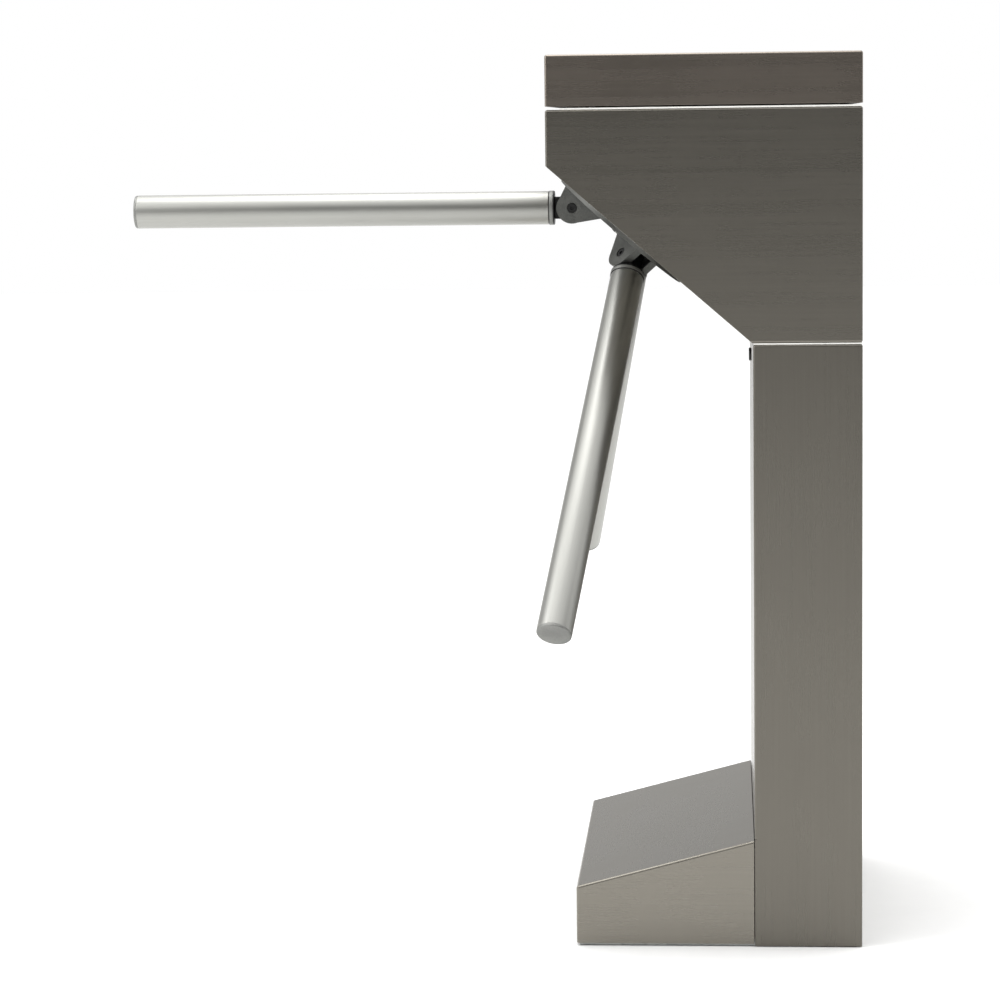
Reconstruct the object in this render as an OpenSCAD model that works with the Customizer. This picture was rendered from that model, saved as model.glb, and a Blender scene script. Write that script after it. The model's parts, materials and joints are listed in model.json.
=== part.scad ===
// Tripod turnstile with a counter, folding arms and a hinged lid.
// Millimetres, +Z up. Origin on the floor, at the centre of the anchor bolt pattern.
// The three-armed hub stands on a slanted plate under the head and turns about that plate's normal.

/* [Overall] */
// Height from the floor to the top of the lid
total_h = 980; // [900:1:1200]
// Width of the head, along X
head_w = 341; // [320:1:420]
// Depth of the head and column, along Y
head_d = 456; // [430:1:560]
// Width of the column
col_w = 118; // [110:1:145]
// Width of the column and base cover together
base_w = 315; // [290:1:340]
// Sheet thickness of every cover
sheet_t = 2; // [1.5:0.5:2.5]

/* [Head and lid] */
// Height of the seam between column and head
col_h = 667; // [600:1:700]
// Slant of the plate that carries the hub, in degrees from horizontal
slant_deg = 41; // [39:0.5:43]
// Height of the lid's skirt
cap_h = 57; // [50:1:70]
// Open seam under the lid
seam_gap = 2; // [2:0.5:4]
// Width of the inward flanges on shell edges
flange_w = 12; // [8:1:16]
// Distance of the hub's axis from the upper end of the slanted plate
hub_along = 107; // [100:1:120]

/* [Base] */
// Height of the base cover at its low end
cover_low_h = 67; // [50:1:80]
// Height of the base cover at the column
cover_high_h = 119; // [100:1:130]
// Thickness of the base plate
plate_t = 8; // [6:1:12]
// Radius of the anchor holes
anchor_r = 7; // [5:0.5:9]
// Hole spacing of the anchor pattern along X
anchor_dx = 230; // [200:5:240]
// Hole spacing of the anchor pattern along Y
anchor_dy = 380; // [340:5:400]
// Radius of the cable entry
entry_r = 20; // [12:1:25]

/* [Hub and arms] */
// Radius of the hub disc
disc_r = 90; // [80:1:95]
// Thickness of the hub disc
disc_t = 8; // [6:1:10]
// Radius at which the arm pins stand
pin_circle_r = 60; // [56:1:64]
// Height of an arm pin above the disc
pin_h = 15; // [15:0.5:18]
// Radius of an arm pin
pin_r = 4; // [3:0.5:5]
// Radius of a clevis lug
lug_r = 18; // [16:0.5:20]
// Flare of a lug on its side away from the shaft, in degrees
lug_flare_out = 14; // [5:1:20]
// Flare of a lug on its side towards the shaft, in degrees
lug_flare_in = 40; // [20:1:42]
// Thickness of a clevis lug
lug_t = 9; // [7:0.5:11]
// Thickness of the knuckle tongue
tongue_t = 16; // [12:1:20]
// Length of an arm from its pin to its tip
arm_len = 508; // [420:1:520]
// Radius of an arm tube
tube_r = 19; // [16:0.5:20]
// Wall of an arm tube
tube_wall = 2; // [1.5:0.5:3]

/* [Mechanism] */
// Thickness of the chassis plate
chassis_t = 8; // [6:1:10]
// Radius of the main shaft
shaft_r = 12.5; // [10:0.5:15]
// Outer radius of a bearing
bearing_r = 26; // [24:0.5:30]
// Width of a bearing
bearing_w = 15; // [12:1:16]
// Module of the gears
gear_module = 2; // [1.5:0.5:2]
// Teeth on the main gear
gear_teeth = 54; // [48:6:54]
// Teeth on the counter and damper pinions
pinion_teeth = 18; // [15:3:18]
// Radius of the lock wheel
lock_r = 62; // [58:1:62]
// Notches in the lock wheel
lock_notches = 12; // [12]

/* [Clearances] */
// Running clearance of a shaft or pin in its hole
run_fit = 0.05; // [0.03:0.01:0.1]
// Side clearance between parts that slide past each other
side_gap = 0.3; // [0.3:0.1:0.6]
// Gap around the service panel
panel_gap = 1.5; // [1:0.5:3]

/* [Hidden] */
$fn = 64;
eps = 0.01;

// Places along X, worked from the base's centre
base_x0 = -base_w / 2;
head_x1 = base_w / 2;
head_x0 = head_x1 - head_w;
col_x0 = head_x1 - col_w;
half_d = head_d / 2;
in_d = half_d - sheet_t;

// Heights
head_top = total_h - cap_h - seam_gap;
lid_z0 = total_h - cap_h;
slant_rise = (head_w - col_w) * tan(slant_deg);
slant_top = col_h + slant_rise;
half_seam = 0.75;
slant_foot_x = col_x0 - half_seam / tan(slant_deg);
shell_z0 = 1;
cover_z0 = 3;

// Base: the cable entry, and the tabs that the cover is screwed to
entry_x = col_x0 + 35;
tab_y = 120;
tab_half = 15;
tab_top = 45;
tab_t = 4;
screw_z = 30;
screw_r = 2.5;
screw_fit = 0.2;
screw_head_r = 4.7;
screw_head_t = 2.2;
plate_x0 = base_x0 + sheet_t + 1;

// The hub's frame: its origin lies on the slanted plate, local +Z points out of it, local +X up the slant
hub_x = head_x0 + hub_along * cos(slant_deg);
hub_z = slant_top - hub_along * sin(slant_deg);
cone_deg = 90 - slant_deg;
disc_z0 = 3;
disc_z1 = disc_z0 + disc_t;
pin_z = disc_z1 + pin_h;
arm_turn = [0, -120, 120];
lug_gap = tongue_t / 2 + side_gap;
lug_out = lug_gap + lug_t;
recess_r = pin_r + 2;
recess_d = 4;
collar_start = lug_r + 2.4;
tube_start = collar_start + 6.6;
plug_len = 35;
cap_t = 3;
cap_plug_len = 15;
hub_neck_r = 18;
hub_bolt_r = 5;
hub_bolt_len = 28;
washer_r = 20;
washer_t = 1.5;
hex_r = 9.5;
hex_h = 3.5;

// Stations along the shaft, measured into the head
chassis_z = -sheet_t;
chassis_in = chassis_z - chassis_t;
housing_len = 52;
housing_end = chassis_in - housing_len;
front_bearing_z = chassis_in - 17;
rear_bearing_z = housing_end + 2;
wheel_z = -80;
wheel_t = 10;
gear_z = -96;
gear_t = 8;
cam_z = -112;
cam_t = 10;
encoder_z = -126;
shaft_end = -131;
rear_z = -136;
rear_t = 4;
rear_in = rear_z + rear_t;
housing_flange_r = 55;
housing_flange_t = 8;
housing_bolt_circle = 46;
housing_bolt_r = 4;
boss_r = 20;
detent_x = 36;
spring_x = 46;
spring_y0 = -92;
spring_w = 8;

// Gears
gear_pitch_r = gear_module * gear_teeth / 2;
pinion_pitch_r = gear_module * pinion_teeth / 2;
mesh_dist = gear_pitch_r + pinion_pitch_r;
damper_turn = 145;
counter_turn = -145;
pinion_shaft_r = 3;

// Pawls, described engaged and then lifted clear of the wheel
pawl_x = -60;
pawl_y = 62;
pawl_lift = 11;
pawl_tail = 28;
pawl_t = 8;
pawl_mid = wheel_z + wheel_t / 2;
post_r = 5;
notch_w = 12;
notch_depth = 10;
plunger_shift = pawl_tail * sin(pawl_lift);
plunger_y = pawl_y - plunger_shift;
plunger_x = pawl_x - pawl_tail;
solenoid_y0 = 88;
solenoid_y1 = 128;
solenoid_half = 12;
plunger_r = 5;
plunger_mid = plunger_x + 0.5;
fork_pin_r = 2;

// Counter drum
drum_x = -30;
drum_r = 13;
drum_w = 6;
axle_r = 2;
counter_x = mesh_dist * cos(counter_turn);
counter_y = mesh_dist * sin(counter_turn);

// Lid hinge and lock
lid_hinge_x = head_x0 + 8;
lid_hinge_z = lid_z0 + 20;
lid_hinge_y = 140;
hinge_pin_r = 3;
knuckle_r = 5;
leaf_w = 20;
lid_lock_z = lid_z0 + 27;
lid_ear_y = 22;
lid_leaf_y = 15;
ear_t = 6;
catch_x0 = head_x1 - 30;
catch_x1 = head_x1 - 15;
catch_y = 34;

// Panel hinge and lock
panel_z0 = cover_high_h + 4.5;
panel_z1 = col_h - 3;
panel_half = half_d - flange_w - sheet_t - panel_gap;
panel_return = 14;
panel_hinge_x = col_x0 + 8;
panel_hinge_z = panel_z0 + 8;
panel_hinge_y = 120;
panel_lock_z = panel_z1 - 24;
rail_x = col_x0 + 11;
panel_ear_y = 20;
panel_leaf_y = 13;
lock_plug_r = 4.5;

// Frame inside the column
upright_y = 150;
upright_w = 40;
upright_x0 = col_x0 + 60;
upright_wall = 3;
mount_z = col_h - 17;
mount_t = 8;
mount_x0 = col_x0 + 26;
mount_half = 200;
mount_window = 90;
rail_z = col_h + 1;
rail_top = col_h + 17;
rail_half = 66;
rail_t = 6;
panel_cam_reach = rail_z + 10 - panel_lock_z;
bracket_y = 156;
bracket_t = 4;

// Electrics on the column's outer wall
wall_x = head_x1 - sheet_t;
board_x = wall_x - 12;
board_half = 70;
board_z0 = 350;
board_z1 = 540;
psu_half = 55;
psu_z0 = 110;
psu_z1 = 290;

steel = [0.62, 0.61, 0.58];
bright = [0.78, 0.78, 0.77];
cast = [0.45, 0.46, 0.46];
dark = [0.15, 0.15, 0.16];
zinc = [0.68, 0.69, 0.66];
green = [0.1, 0.35, 0.2];

// Point of the hub's frame, seen in X and Z
function out_x(x, z) = hub_x - x * cos(slant_deg) - z * sin(slant_deg);
function out_z(x, z) = hub_z + x * sin(slant_deg) - z * cos(slant_deg);

// Involute gear outline: half the tooth's angle at a radius, then the points of one tooth
function inv_deg(a) = tan(a) * 180 / PI - a;
function half_tooth(r, teeth, pitch_r) =
    90 / teeth * 0.94 + inv_deg(20) - inv_deg(acos(min(1, pitch_r * cos(20) / r)));
function tooth_radii(teeth) =
    let (p = gear_module * teeth / 2)
    [p - 1.25 * gear_module, max(p * cos(20), p - 0.9 * gear_module), p, p + 0.9 * gear_module];
function tooth_points(teeth, i) =
    let (p = gear_module * teeth / 2, radii = tooth_radii(teeth), mid = i * 360 / teeth)
    concat(
        [for (k = [0:3]) let (a = mid - half_tooth(radii[k], teeth, p)) radii[k] * [cos(a), sin(a)]],
        [for (k = [3:-1:0]) let (a = mid + half_tooth(radii[k], teeth, p)) radii[k] * [cos(a), sin(a)]]);
function gear_points(teeth) = [for (i = [0:teeth - 1]) each tooth_points(teeth, i)];
// Turn of a pinion that meshes with the main gear at a given angle round the shaft
function mesh_turn(a) = a + 180 + a * gear_teeth / pinion_teeth + 180 / pinion_teeth;

// Foot of a clevis lug in X and Z: two sides that leave the round end and flare down to the disc
function lug_foot() =
    let (r = lug_r - 0.3, drop = pin_h + 1, a = lug_flare_out, b = lug_flare_in)
    [[r * cos(a), pin_z + r * sin(a)], [(r + drop * sin(a)) / cos(a), pin_z - drop],
        [-(r + drop * sin(b)) / cos(b), pin_z - drop], [-r * cos(b), pin_z + r * sin(b)]];

module at_hub() {
    translate([hub_x, 0, hub_z]) rotate([0, 180 + slant_deg, 0]) children();
}

module at_pin(i) {
    at_hub() rotate([0, 0, arm_turn[i]]) translate([pin_circle_r, 0, pin_z]) children();
}

module along_arm(i) {
    at_pin(i) rotate([0, cone_deg, 0]) children();
}

module ring(r_out, r_in, h) {
    difference() {
        cylinder(r = r_out, h = h);
        translate([0, 0, -1]) cylinder(r = r_in, h = h + 2);
    }
}

module y_cylinder(r, h) {
    rotate([-90, 0, 0]) cylinder(r = r, h = h);
}

module x_cylinder(r, h) {
    rotate([0, 90, 0]) cylinder(r = r, h = h);
}

// A profile in X and Z, drawn out along Y
module side_plate(points, y0, y1) {
    translate([0, y1, 0]) rotate([90, 0, 0]) linear_extrude(y1 - y0) polygon(points);
}

module box_between(low, high) {
    translate(low) cube(high - low);
}

module base_plate() {
    color(zinc) {
        difference() {
            box_between([plate_x0, -in_d + 3, 0], [head_x1 - sheet_t - 1, in_d - 3, plate_t]);
            for (x = [-anchor_dx / 2, anchor_dx / 2], y = [-anchor_dy / 2, anchor_dy / 2])
                translate([x, y, -1]) cylinder(r = anchor_r, h = plate_t + 2);
            translate([entry_x, 0, -1]) cylinder(r = entry_r, h = plate_t + 2);
        }
        for (y = [-tab_y, tab_y]) difference() {
            box_between([plate_x0, y - tab_half, plate_t], [plate_x0 + tab_t, y + tab_half, tab_top]);
            translate([base_x0, y, screw_z]) x_cylinder(screw_r, 20);
        }
    }
}

module base_cover() {
    cover_x1 = col_x0 - 0.5;
    slope = (cover_high_h - cover_low_h) / (cover_x1 - base_x0);
    outline = [[base_x0, cover_z0], [cover_x1, cover_z0], [cover_x1, cover_high_h], [base_x0, cover_low_h]];
    inner = [[base_x0 + sheet_t, cover_z0 - 1], [cover_x1 + 1, cover_z0 - 1],
        [cover_x1 + 1, cover_high_h - sheet_t + slope], [base_x0 + sheet_t, cover_low_h - sheet_t + slope]];
    color(steel) difference() {
        side_plate(outline, -half_d + 1, half_d - 1);
        side_plate(inner, -in_d + 1, in_d - 1);
        for (y = [-tab_y, tab_y]) translate([base_x0 - 1, y, screw_z])
            x_cylinder(screw_r + screw_fit, sheet_t + 2);
    }
}

module base_cover_screws() {
    color(bright) for (y = [-tab_y, tab_y]) translate([base_x0, y, screw_z]) {
        difference() {
            translate([-screw_head_t, 0, 0]) x_cylinder(screw_head_r, screw_head_t);
            translate([-screw_head_t - 1, 0, 0]) rotate([0, 90, 0]) cylinder(r = 1.7, h = 2.2, $fn = 6);
        }
        x_cylinder(screw_r, sheet_t + tab_t + 2);
    }
}

module column_frame() {
    color(zinc) {
        for (y = [-upright_y, upright_y]) difference() {
            box_between([upright_x0, y - upright_w / 2, plate_t],
                [upright_x0 + upright_w, y + upright_w / 2, mount_z]);
            box_between([upright_x0 + upright_wall, y - upright_w / 2 + upright_wall, plate_t - 1],
                [upright_x0 + upright_w - upright_wall, y + upright_w / 2 - upright_wall, mount_z + 1]);
        }
        difference() {
            box_between([mount_x0, -mount_half, mount_z], [head_x1 - 8, mount_half, mount_z + mount_t]);
            box_between([mount_x0 + 24, -mount_window, mount_z - 1],
                [head_x1 - 25, mount_window, mount_z + mount_t + 1]);
        }
        for (y = [-rail_half, rail_half - rail_t]) {
            box_between([mount_x0, y, mount_z + mount_t], [mount_x0 + 14, y + rail_t, rail_top]);
            box_between([rail_x, y, rail_z], [mount_x0 + 1, y + rail_t, rail_top]);
        }
        box_between([rail_x, -rail_half, rail_z], [rail_x + 3, rail_half, rail_top]);
    }
}

module column_shell() {
    top = col_h - half_seam;
    color(steel) {
        for (s = [-1, 1]) {
            box_between([col_x0, s > 0 ? in_d : -half_d, shell_z0], [head_x1, s > 0 ? half_d : -in_d, top]);
            box_between([col_x0, s > 0 ? in_d - flange_w : -in_d, cover_high_h + 2],
                [col_x0 + sheet_t, s > 0 ? in_d : -in_d + flange_w, top]);
        }
        box_between([head_x1 - sheet_t, -in_d, shell_z0], [head_x1, in_d, top]);
        difference() {
            box_between([col_x0 + 22, -in_d, top - sheet_t], [head_x1 - sheet_t, in_d, top]);
            box_between([col_x0 + 21, -in_d + flange_w, top - sheet_t - 1],
                [head_x1 - sheet_t - flange_w, in_d - flange_w, top + 1]);
        }
    }
}

module service_panel() {
    color(steel) difference() {
        union() {
            box_between([col_x0, -panel_half, panel_z0], [col_x0 + sheet_t, panel_half, panel_z1]);
            for (s = [-1, 1])
                box_between([col_x0 + sheet_t, s > 0 ? panel_half - sheet_t : -panel_half, panel_z0 + 20],
                    [col_x0 + panel_return, s > 0 ? panel_half : -panel_half + sheet_t, panel_z1]);
            box_between([col_x0 + sheet_t, -panel_half + sheet_t, panel_z1 - 1.5],
                [col_x0 + panel_return, panel_half - sheet_t, panel_z1]);
        }
        translate([col_x0 - 1, 0, panel_lock_z]) x_cylinder(6, 5);
    }
}

module panel_hinge_brackets() {
    color(zinc) for (y = [-panel_hinge_y, panel_hinge_y]) {
        translate([panel_hinge_x, y - panel_ear_y, panel_hinge_z]) y_cylinder(hinge_pin_r, 2 * panel_ear_y);
        for (side = [-panel_ear_y, panel_ear_y - ear_t]) difference() {
            box_between([panel_hinge_x - 4, y + side, plate_t],
                [panel_hinge_x + 16, y + side + ear_t, panel_hinge_z + knuckle_r]);
            translate([panel_hinge_x, y + side - 1, panel_hinge_z]) y_cylinder(hinge_pin_r - eps, ear_t + 2);
        }
    }
}

module panel_hinge_leaves() {
    color(zinc) for (y = [-panel_hinge_y, panel_hinge_y]) difference() {
        union() {
            translate([panel_hinge_x, y - panel_leaf_y, panel_hinge_z])
                y_cylinder(knuckle_r, 2 * panel_leaf_y);
            box_between([col_x0 + sheet_t, y - panel_leaf_y, panel_hinge_z + 1],
                [col_x0 + sheet_t + 3, y + panel_leaf_y, panel_hinge_z + 32]);
            box_between([col_x0 + sheet_t + 1, y - panel_leaf_y, panel_hinge_z - 2],
                [panel_hinge_x, y + panel_leaf_y, panel_hinge_z + 4]);
        }
        translate([panel_hinge_x, y - panel_leaf_y - 1, panel_hinge_z])
            y_cylinder(hinge_pin_r + run_fit, 2 * panel_leaf_y + 2);
    }
}

// Lock body along local +X, its face at the origin
module lock_body(face_r, barrel_r, face_t, depth) {
    difference() {
        union() {
            translate([-face_t, 0, 0]) x_cylinder(face_r, face_t);
            x_cylinder(barrel_r, depth);
        }
        translate([-face_t - 1, 0, 0]) x_cylinder(lock_plug_r + run_fit, depth + face_t + 2);
    }
}

// Lock plug with its key slot and cam; the cam points along local +Y
module lock_plug(face_t, depth, reach) {
    difference() {
        translate([-face_t, 0, 0]) x_cylinder(lock_plug_r, depth + face_t + 1);
        box_between([-face_t - 1, -0.6, -3], [-face_t + 2.5, 0.6, 3]);
    }
    difference() {
        box_between([depth + 0.5, -5, -4], [depth + 3.5, reach, 4]);
        translate([depth, 0, 0]) x_cylinder(lock_plug_r - eps, 5);
    }
    translate([depth + 0.5, 0, 0]) x_cylinder(lock_plug_r, 5);
}

module panel_lock_body() {
    color(bright) translate([col_x0, 0, panel_lock_z]) lock_body(7.5, 6, 3, 16);
}

module panel_lock_plug() {
    color(dark) translate([col_x0, 0, panel_lock_z]) lock_plug(3, 16, panel_cam_reach);
}

module head_shell() {
    z0 = col_h + half_seam;
    profile = [[head_x0, head_top], [head_x0, slant_top], [slant_foot_x, z0], [head_x1, z0],
        [head_x1, head_top]];
    color(steel) {
        side_plate(profile, -half_d, -in_d);
        side_plate(profile, in_d, half_d);
        box_between([head_x0, -in_d, slant_top], [head_x0 + sheet_t, in_d, head_top]);
        box_between([head_x1 - sheet_t, -in_d, z0], [head_x1, in_d, head_top]);
        difference() {
            box_between([head_x0 + sheet_t, -in_d, head_top - sheet_t], [head_x1 - sheet_t, in_d, head_top]);
            box_between([head_x0 + sheet_t + flange_w, -in_d + flange_w, head_top - 2 * sheet_t],
                [head_x1 - sheet_t - flange_w, in_d - flange_w, head_top + 1]);
        }
        difference() {
            box_between([col_x0 + 30, -in_d, z0], [head_x1 - sheet_t, in_d, z0 + sheet_t]);
            box_between([col_x0 + 29, -in_d + flange_w, z0 - 1],
                [head_x1 - sheet_t - flange_w, in_d - flange_w, z0 + sheet_t + 1]);
        }
    }
}

module face_plate() {
    z0 = col_h + half_seam;
    dx = sheet_t * sin(slant_deg);
    dz = sheet_t * cos(slant_deg);
    color(steel) difference() {
        side_plate([[head_x0, slant_top], [slant_foot_x, z0], [slant_foot_x + dx, z0 + dz],
            [head_x0 + dx, slant_top + dz]], -in_d, in_d);
        box_between([head_x0 - 1, -half_d, slant_top - 9], [head_x0 + sheet_t, half_d, slant_top + 9]);
        at_hub() translate([0, 0, -10]) cylinder(r = 36, h = 20);
    }
}

module lid() {
    color(steel) difference() {
        box_between([head_x0, -half_d, lid_z0], [head_x1, half_d, total_h]);
        box_between([head_x0 + sheet_t, -in_d, lid_z0 - 1], [head_x1 - sheet_t, in_d, total_h - sheet_t]);
        translate([head_x1 - sheet_t - 1, 0, lid_lock_z]) x_cylinder(8, sheet_t + 2);
    }
}

module lid_hinge_brackets() {
    leg_x = lid_hinge_x + 25;
    leg_t = 6;
    color(zinc) for (y = [-lid_hinge_y, lid_hinge_y]) {
        translate([lid_hinge_x, y - lid_ear_y, lid_hinge_z]) y_cylinder(hinge_pin_r, 2 * lid_ear_y);
        for (side = [-lid_ear_y, lid_ear_y - ear_t]) difference() {
            union() {
                box_between([leg_x, y + side, head_top],
                    [leg_x + leg_t, y + side + ear_t, lid_hinge_z + leg_t]);
                box_between([lid_hinge_x, y + side, lid_hinge_z],
                    [leg_x + leg_t, y + side + ear_t, lid_hinge_z + leg_t]);
                translate([lid_hinge_x, y + side, lid_hinge_z]) y_cylinder(knuckle_r, ear_t);
            }
            translate([lid_hinge_x, y + side - 1, lid_hinge_z]) y_cylinder(hinge_pin_r - eps, ear_t + 2);
        }
        box_between([head_x0 + sheet_t + 1, y - lid_ear_y, head_top - sheet_t - 4],
            [leg_x + leg_t, y + lid_ear_y, head_top - sheet_t]);
        box_between([leg_x, y - lid_ear_y, head_top - sheet_t - 0.1],
            [leg_x + leg_t, y + lid_ear_y, head_top]);
    }
}

module lid_hinge_leaves() {
    color(zinc) for (y = [-lid_hinge_y, lid_hinge_y]) difference() {
        union() {
            translate([lid_hinge_x, y - lid_leaf_y, lid_hinge_z]) y_cylinder(knuckle_r, 2 * lid_leaf_y);
            box_between([lid_hinge_x - 2, y - lid_leaf_y, lid_hinge_z + 2],
                [lid_hinge_x + 2, y + lid_leaf_y, total_h - sheet_t]);
            box_between([lid_hinge_x - 2, y - lid_leaf_y, total_h - sheet_t - 3],
                [lid_hinge_x + leaf_w, y + lid_leaf_y, total_h - sheet_t]);
        }
        translate([lid_hinge_x, y - lid_leaf_y - 1, lid_hinge_z])
            y_cylinder(hinge_pin_r + run_fit, 2 * lid_leaf_y + 2);
    }
}

// The lid's lock faces +X and its cam hangs down while the lid is free
module at_lid_lock() {
    translate([head_x1, 0, lid_lock_z]) rotate([0, 0, 180]) children();
}

module lid_lock_body() {
    color(bright) at_lid_lock() lock_body(10, 8, 2.5, 18);
}

module lid_lock_plug() {
    color(dark) at_lid_lock() rotate([-90, 0, 0]) lock_plug(2.5, 18, 21);
}

module lid_catch() {
    lip_z = lid_lock_z + 7;
    lip_t = 3;
    color(zinc) {
        box_between([catch_x0, 12, lip_z], [catch_x1, catch_y, lip_z + lip_t]);
        box_between([catch_x0, catch_y, head_top], [catch_x1, catch_y + lip_t, lip_z + lip_t]);
        box_between([catch_x0, catch_y, head_top], [wall_x - 1, catch_y + 22, head_top + 2]);
    }
}

module chassis_brackets() {
    low = [out_x(-160, chassis_in), out_z(-160, chassis_in)];
    high = [out_x(60, chassis_in), out_z(60, chassis_in)];
    z0 = mount_z + mount_t;
    x1 = head_x1 - sheet_t - flange_w - 2;
    shape = [high, low, [col_x0 + 30, z0], [x1, z0], [x1, z0 + 60], [high[0] + 20, high[1] + 22]];
    color(zinc) for (y = [-bracket_y, bracket_y - bracket_t]) side_plate(shape, y, y + bracket_t);
}

module chassis_plate() {
    color(zinc) at_hub() difference() {
        box_between([-168, -168, chassis_in], [85, 168, chassis_z]);
        translate([0, 0, chassis_in - 1]) cylinder(r = bearing_r + 2, h = chassis_t + 2);
    }
}

module bearing_housing() {
    color(cast) at_hub() difference() {
        union() {
            translate([0, 0, chassis_in - housing_flange_t])
                cylinder(r = housing_flange_r, h = housing_flange_t);
            translate([0, 0, housing_end]) cylinder(r = bearing_r + 10, h = housing_len - 4);
        }
        translate([0, 0, housing_end - 1]) cylinder(r = bearing_r - 3, h = housing_len + 2);
        translate([0, 0, front_bearing_z]) cylinder(r = bearing_r, h = 30);
        translate([0, 0, housing_end - 1]) cylinder(r = bearing_r, h = bearing_w + 3);
        for (a = [45:90:315]) rotate([0, 0, a])
            translate([housing_bolt_circle, 0, chassis_in - housing_flange_t - 1])
                cylinder(r = housing_bolt_r, h = housing_flange_t + 4);
    }
}

module housing_bolts() {
    head_h = 5;
    color(bright) at_hub() for (a = [45:90:315]) rotate([0, 0, a])
        translate([housing_bolt_circle, 0, chassis_in - housing_flange_t]) {
            cylinder(r = housing_bolt_r, h = housing_flange_t);
            translate([0, 0, -head_h]) cylinder(r = housing_bolt_r + 2.5, h = head_h, $fn = 6);
        }
}

module bearings() {
    color(bright) at_hub() for (z = [front_bearing_z, rear_bearing_z]) translate([0, 0, z]) difference() {
        cylinder(r = bearing_r, h = bearing_w);
        translate([0, 0, -1]) cylinder(r = shaft_r + run_fit, h = bearing_w + 2);
        for (dz = [-1, bearing_w - 0.8]) translate([0, 0, dz]) ring(bearing_r - 3, shaft_r + 4, 1.8);
    }
}

module main_shaft() {
    color(bright) at_hub() difference() {
        translate([0, 0, shaft_end]) cylinder(r = shaft_r, h = disc_z1 - shaft_end);
        translate([0, 0, disc_z1 - hub_bolt_len - 2]) cylinder(r = hub_bolt_r, h = hub_bolt_len + 3);
    }
}

module hub() {
    color(cast) at_hub() difference() {
        union() {
            translate([0, 0, disc_z0]) cylinder(r = disc_r, h = disc_t);
            translate([0, 0, front_bearing_z + bearing_w + 1])
                cylinder(r = hub_neck_r, h = disc_z0 - front_bearing_z - bearing_w);
            for (a = arm_turn) rotate([0, 0, a]) translate([pin_circle_r, 0, 0]) for (s = [-1, 1]) {
                translate([0, s > 0 ? lug_gap : -lug_out, pin_z]) y_cylinder(lug_r, lug_t);
                side_plate(lug_foot(), s > 0 ? lug_gap : -lug_out, s > 0 ? lug_out : -lug_gap);
            }
        }
        translate([0, 0, -60]) cylinder(r = shaft_r, h = 100);
        for (a = arm_turn) rotate([0, 0, a]) translate([pin_circle_r, 0, pin_z]) {
            translate([0, -lug_out - 1, 0]) y_cylinder(pin_r, 2 * lug_out + 2);
            translate([0, -lug_out - 1, 0]) y_cylinder(recess_r, recess_d + 1);
            translate([0, lug_out - recess_d, 0]) y_cylinder(recess_r, recess_d + 1);
        }
    }
}

module hub_bolt() {
    color(bright) at_hub() {
        translate([0, 0, disc_z1]) ring(washer_r, hub_bolt_r, washer_t);
        translate([0, 0, disc_z1 - hub_bolt_len]) cylinder(r = hub_bolt_r, h = hub_bolt_len + washer_t);
        translate([0, 0, disc_z1 + washer_t]) cylinder(r = hex_r, h = hex_h, $fn = 6);
    }
}

module clevis_pins() {
    head_r = recess_r - 0.8;
    head_h = recess_d - 0.6;
    socket_d = 2.2;
    half = lug_out - recess_d;
    color(dark) for (i = [0:2]) at_pin(i) difference() {
        union() {
            translate([0, -half - head_h, 0]) y_cylinder(pin_r, 2 * (half + head_h));
            translate([0, -half - head_h, 0]) y_cylinder(head_r, head_h);
            translate([0, half, 0]) y_cylinder(head_r, head_h);
        }
        for (s = [-1, 1]) translate([0, s > 0 ? half + head_h - socket_d : -half - head_h - 0.8, 0])
            rotate([-90, 0, 0]) cylinder(r = 2.4, h = socket_d + 0.8, $fn = 6);
    }
}

module arm_knuckle(i) {
    plug_r = tube_r - tube_wall;
    color(dark) along_arm(i) difference() {
        union() {
            translate([0, -tongue_t / 2, 0]) y_cylinder(pin_h - 2, tongue_t);
            box_between([-pin_h + 2.4, -tongue_t / 2, 0], [pin_h - 2.4, tongue_t / 2, collar_start + 1]);
            translate([0, 0, collar_start]) cylinder(r = tube_r + 0.6, h = tube_start - collar_start);
            translate([0, 0, tube_start - 1]) cylinder(r = plug_r, h = plug_len + 1);
        }
        translate([0, -tongue_t, 0]) y_cylinder(pin_r + run_fit, 2 * tongue_t);
    }
}

module arm_tube(i) {
    color(bright) along_arm(i) translate([0, 0, tube_start])
        ring(tube_r, tube_r - tube_wall, arm_len - tube_start - cap_t);
}

module arm_cap(i) {
    color(cast) along_arm(i) {
        translate([0, 0, arm_len - cap_t]) cylinder(r = tube_r - 0.2, h = cap_t);
        translate([0, 0, arm_len - cap_t - cap_plug_len])
            cylinder(r = tube_r - tube_wall, h = cap_plug_len + 1);
    }
}

module lock_wheel() {
    color(cast) at_hub() difference() {
        union() {
            translate([0, 0, wheel_z]) cylinder(r = lock_r, h = wheel_t);
            translate([0, 0, wheel_z - 7]) cylinder(r = boss_r, h = wheel_t + 13);
        }
        translate([0, 0, wheel_z - 20]) cylinder(r = shaft_r, h = wheel_t + 40);
        for (i = [0:lock_notches - 1]) rotate([0, 0, i * 360 / lock_notches])
            box_between([lock_r - notch_depth, -notch_w / 2, wheel_z - 1],
                [lock_r + 5, notch_w / 2, wheel_z + wheel_t + 1]);
    }
}

// Runs its children on both sides: the entry side faces -Y and the exit side +Y
module on_side(s) {
    at_hub() mirror([0, s < 0 ? 1 : 0, 0]) children();
}

module pawl_posts() {
    color(zinc) for (s = [-1, 1]) on_side(s) {
        translate([pawl_x, pawl_y, wheel_z - 6]) cylinder(r = post_r, h = chassis_in - wheel_z + 6);
        translate([pawl_x, pawl_y, pawl_mid + pawl_t / 2 + 1])
            cylinder(r = post_r + 3, h = chassis_in - pawl_mid - pawl_t / 2 - 1);
    }
}

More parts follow.
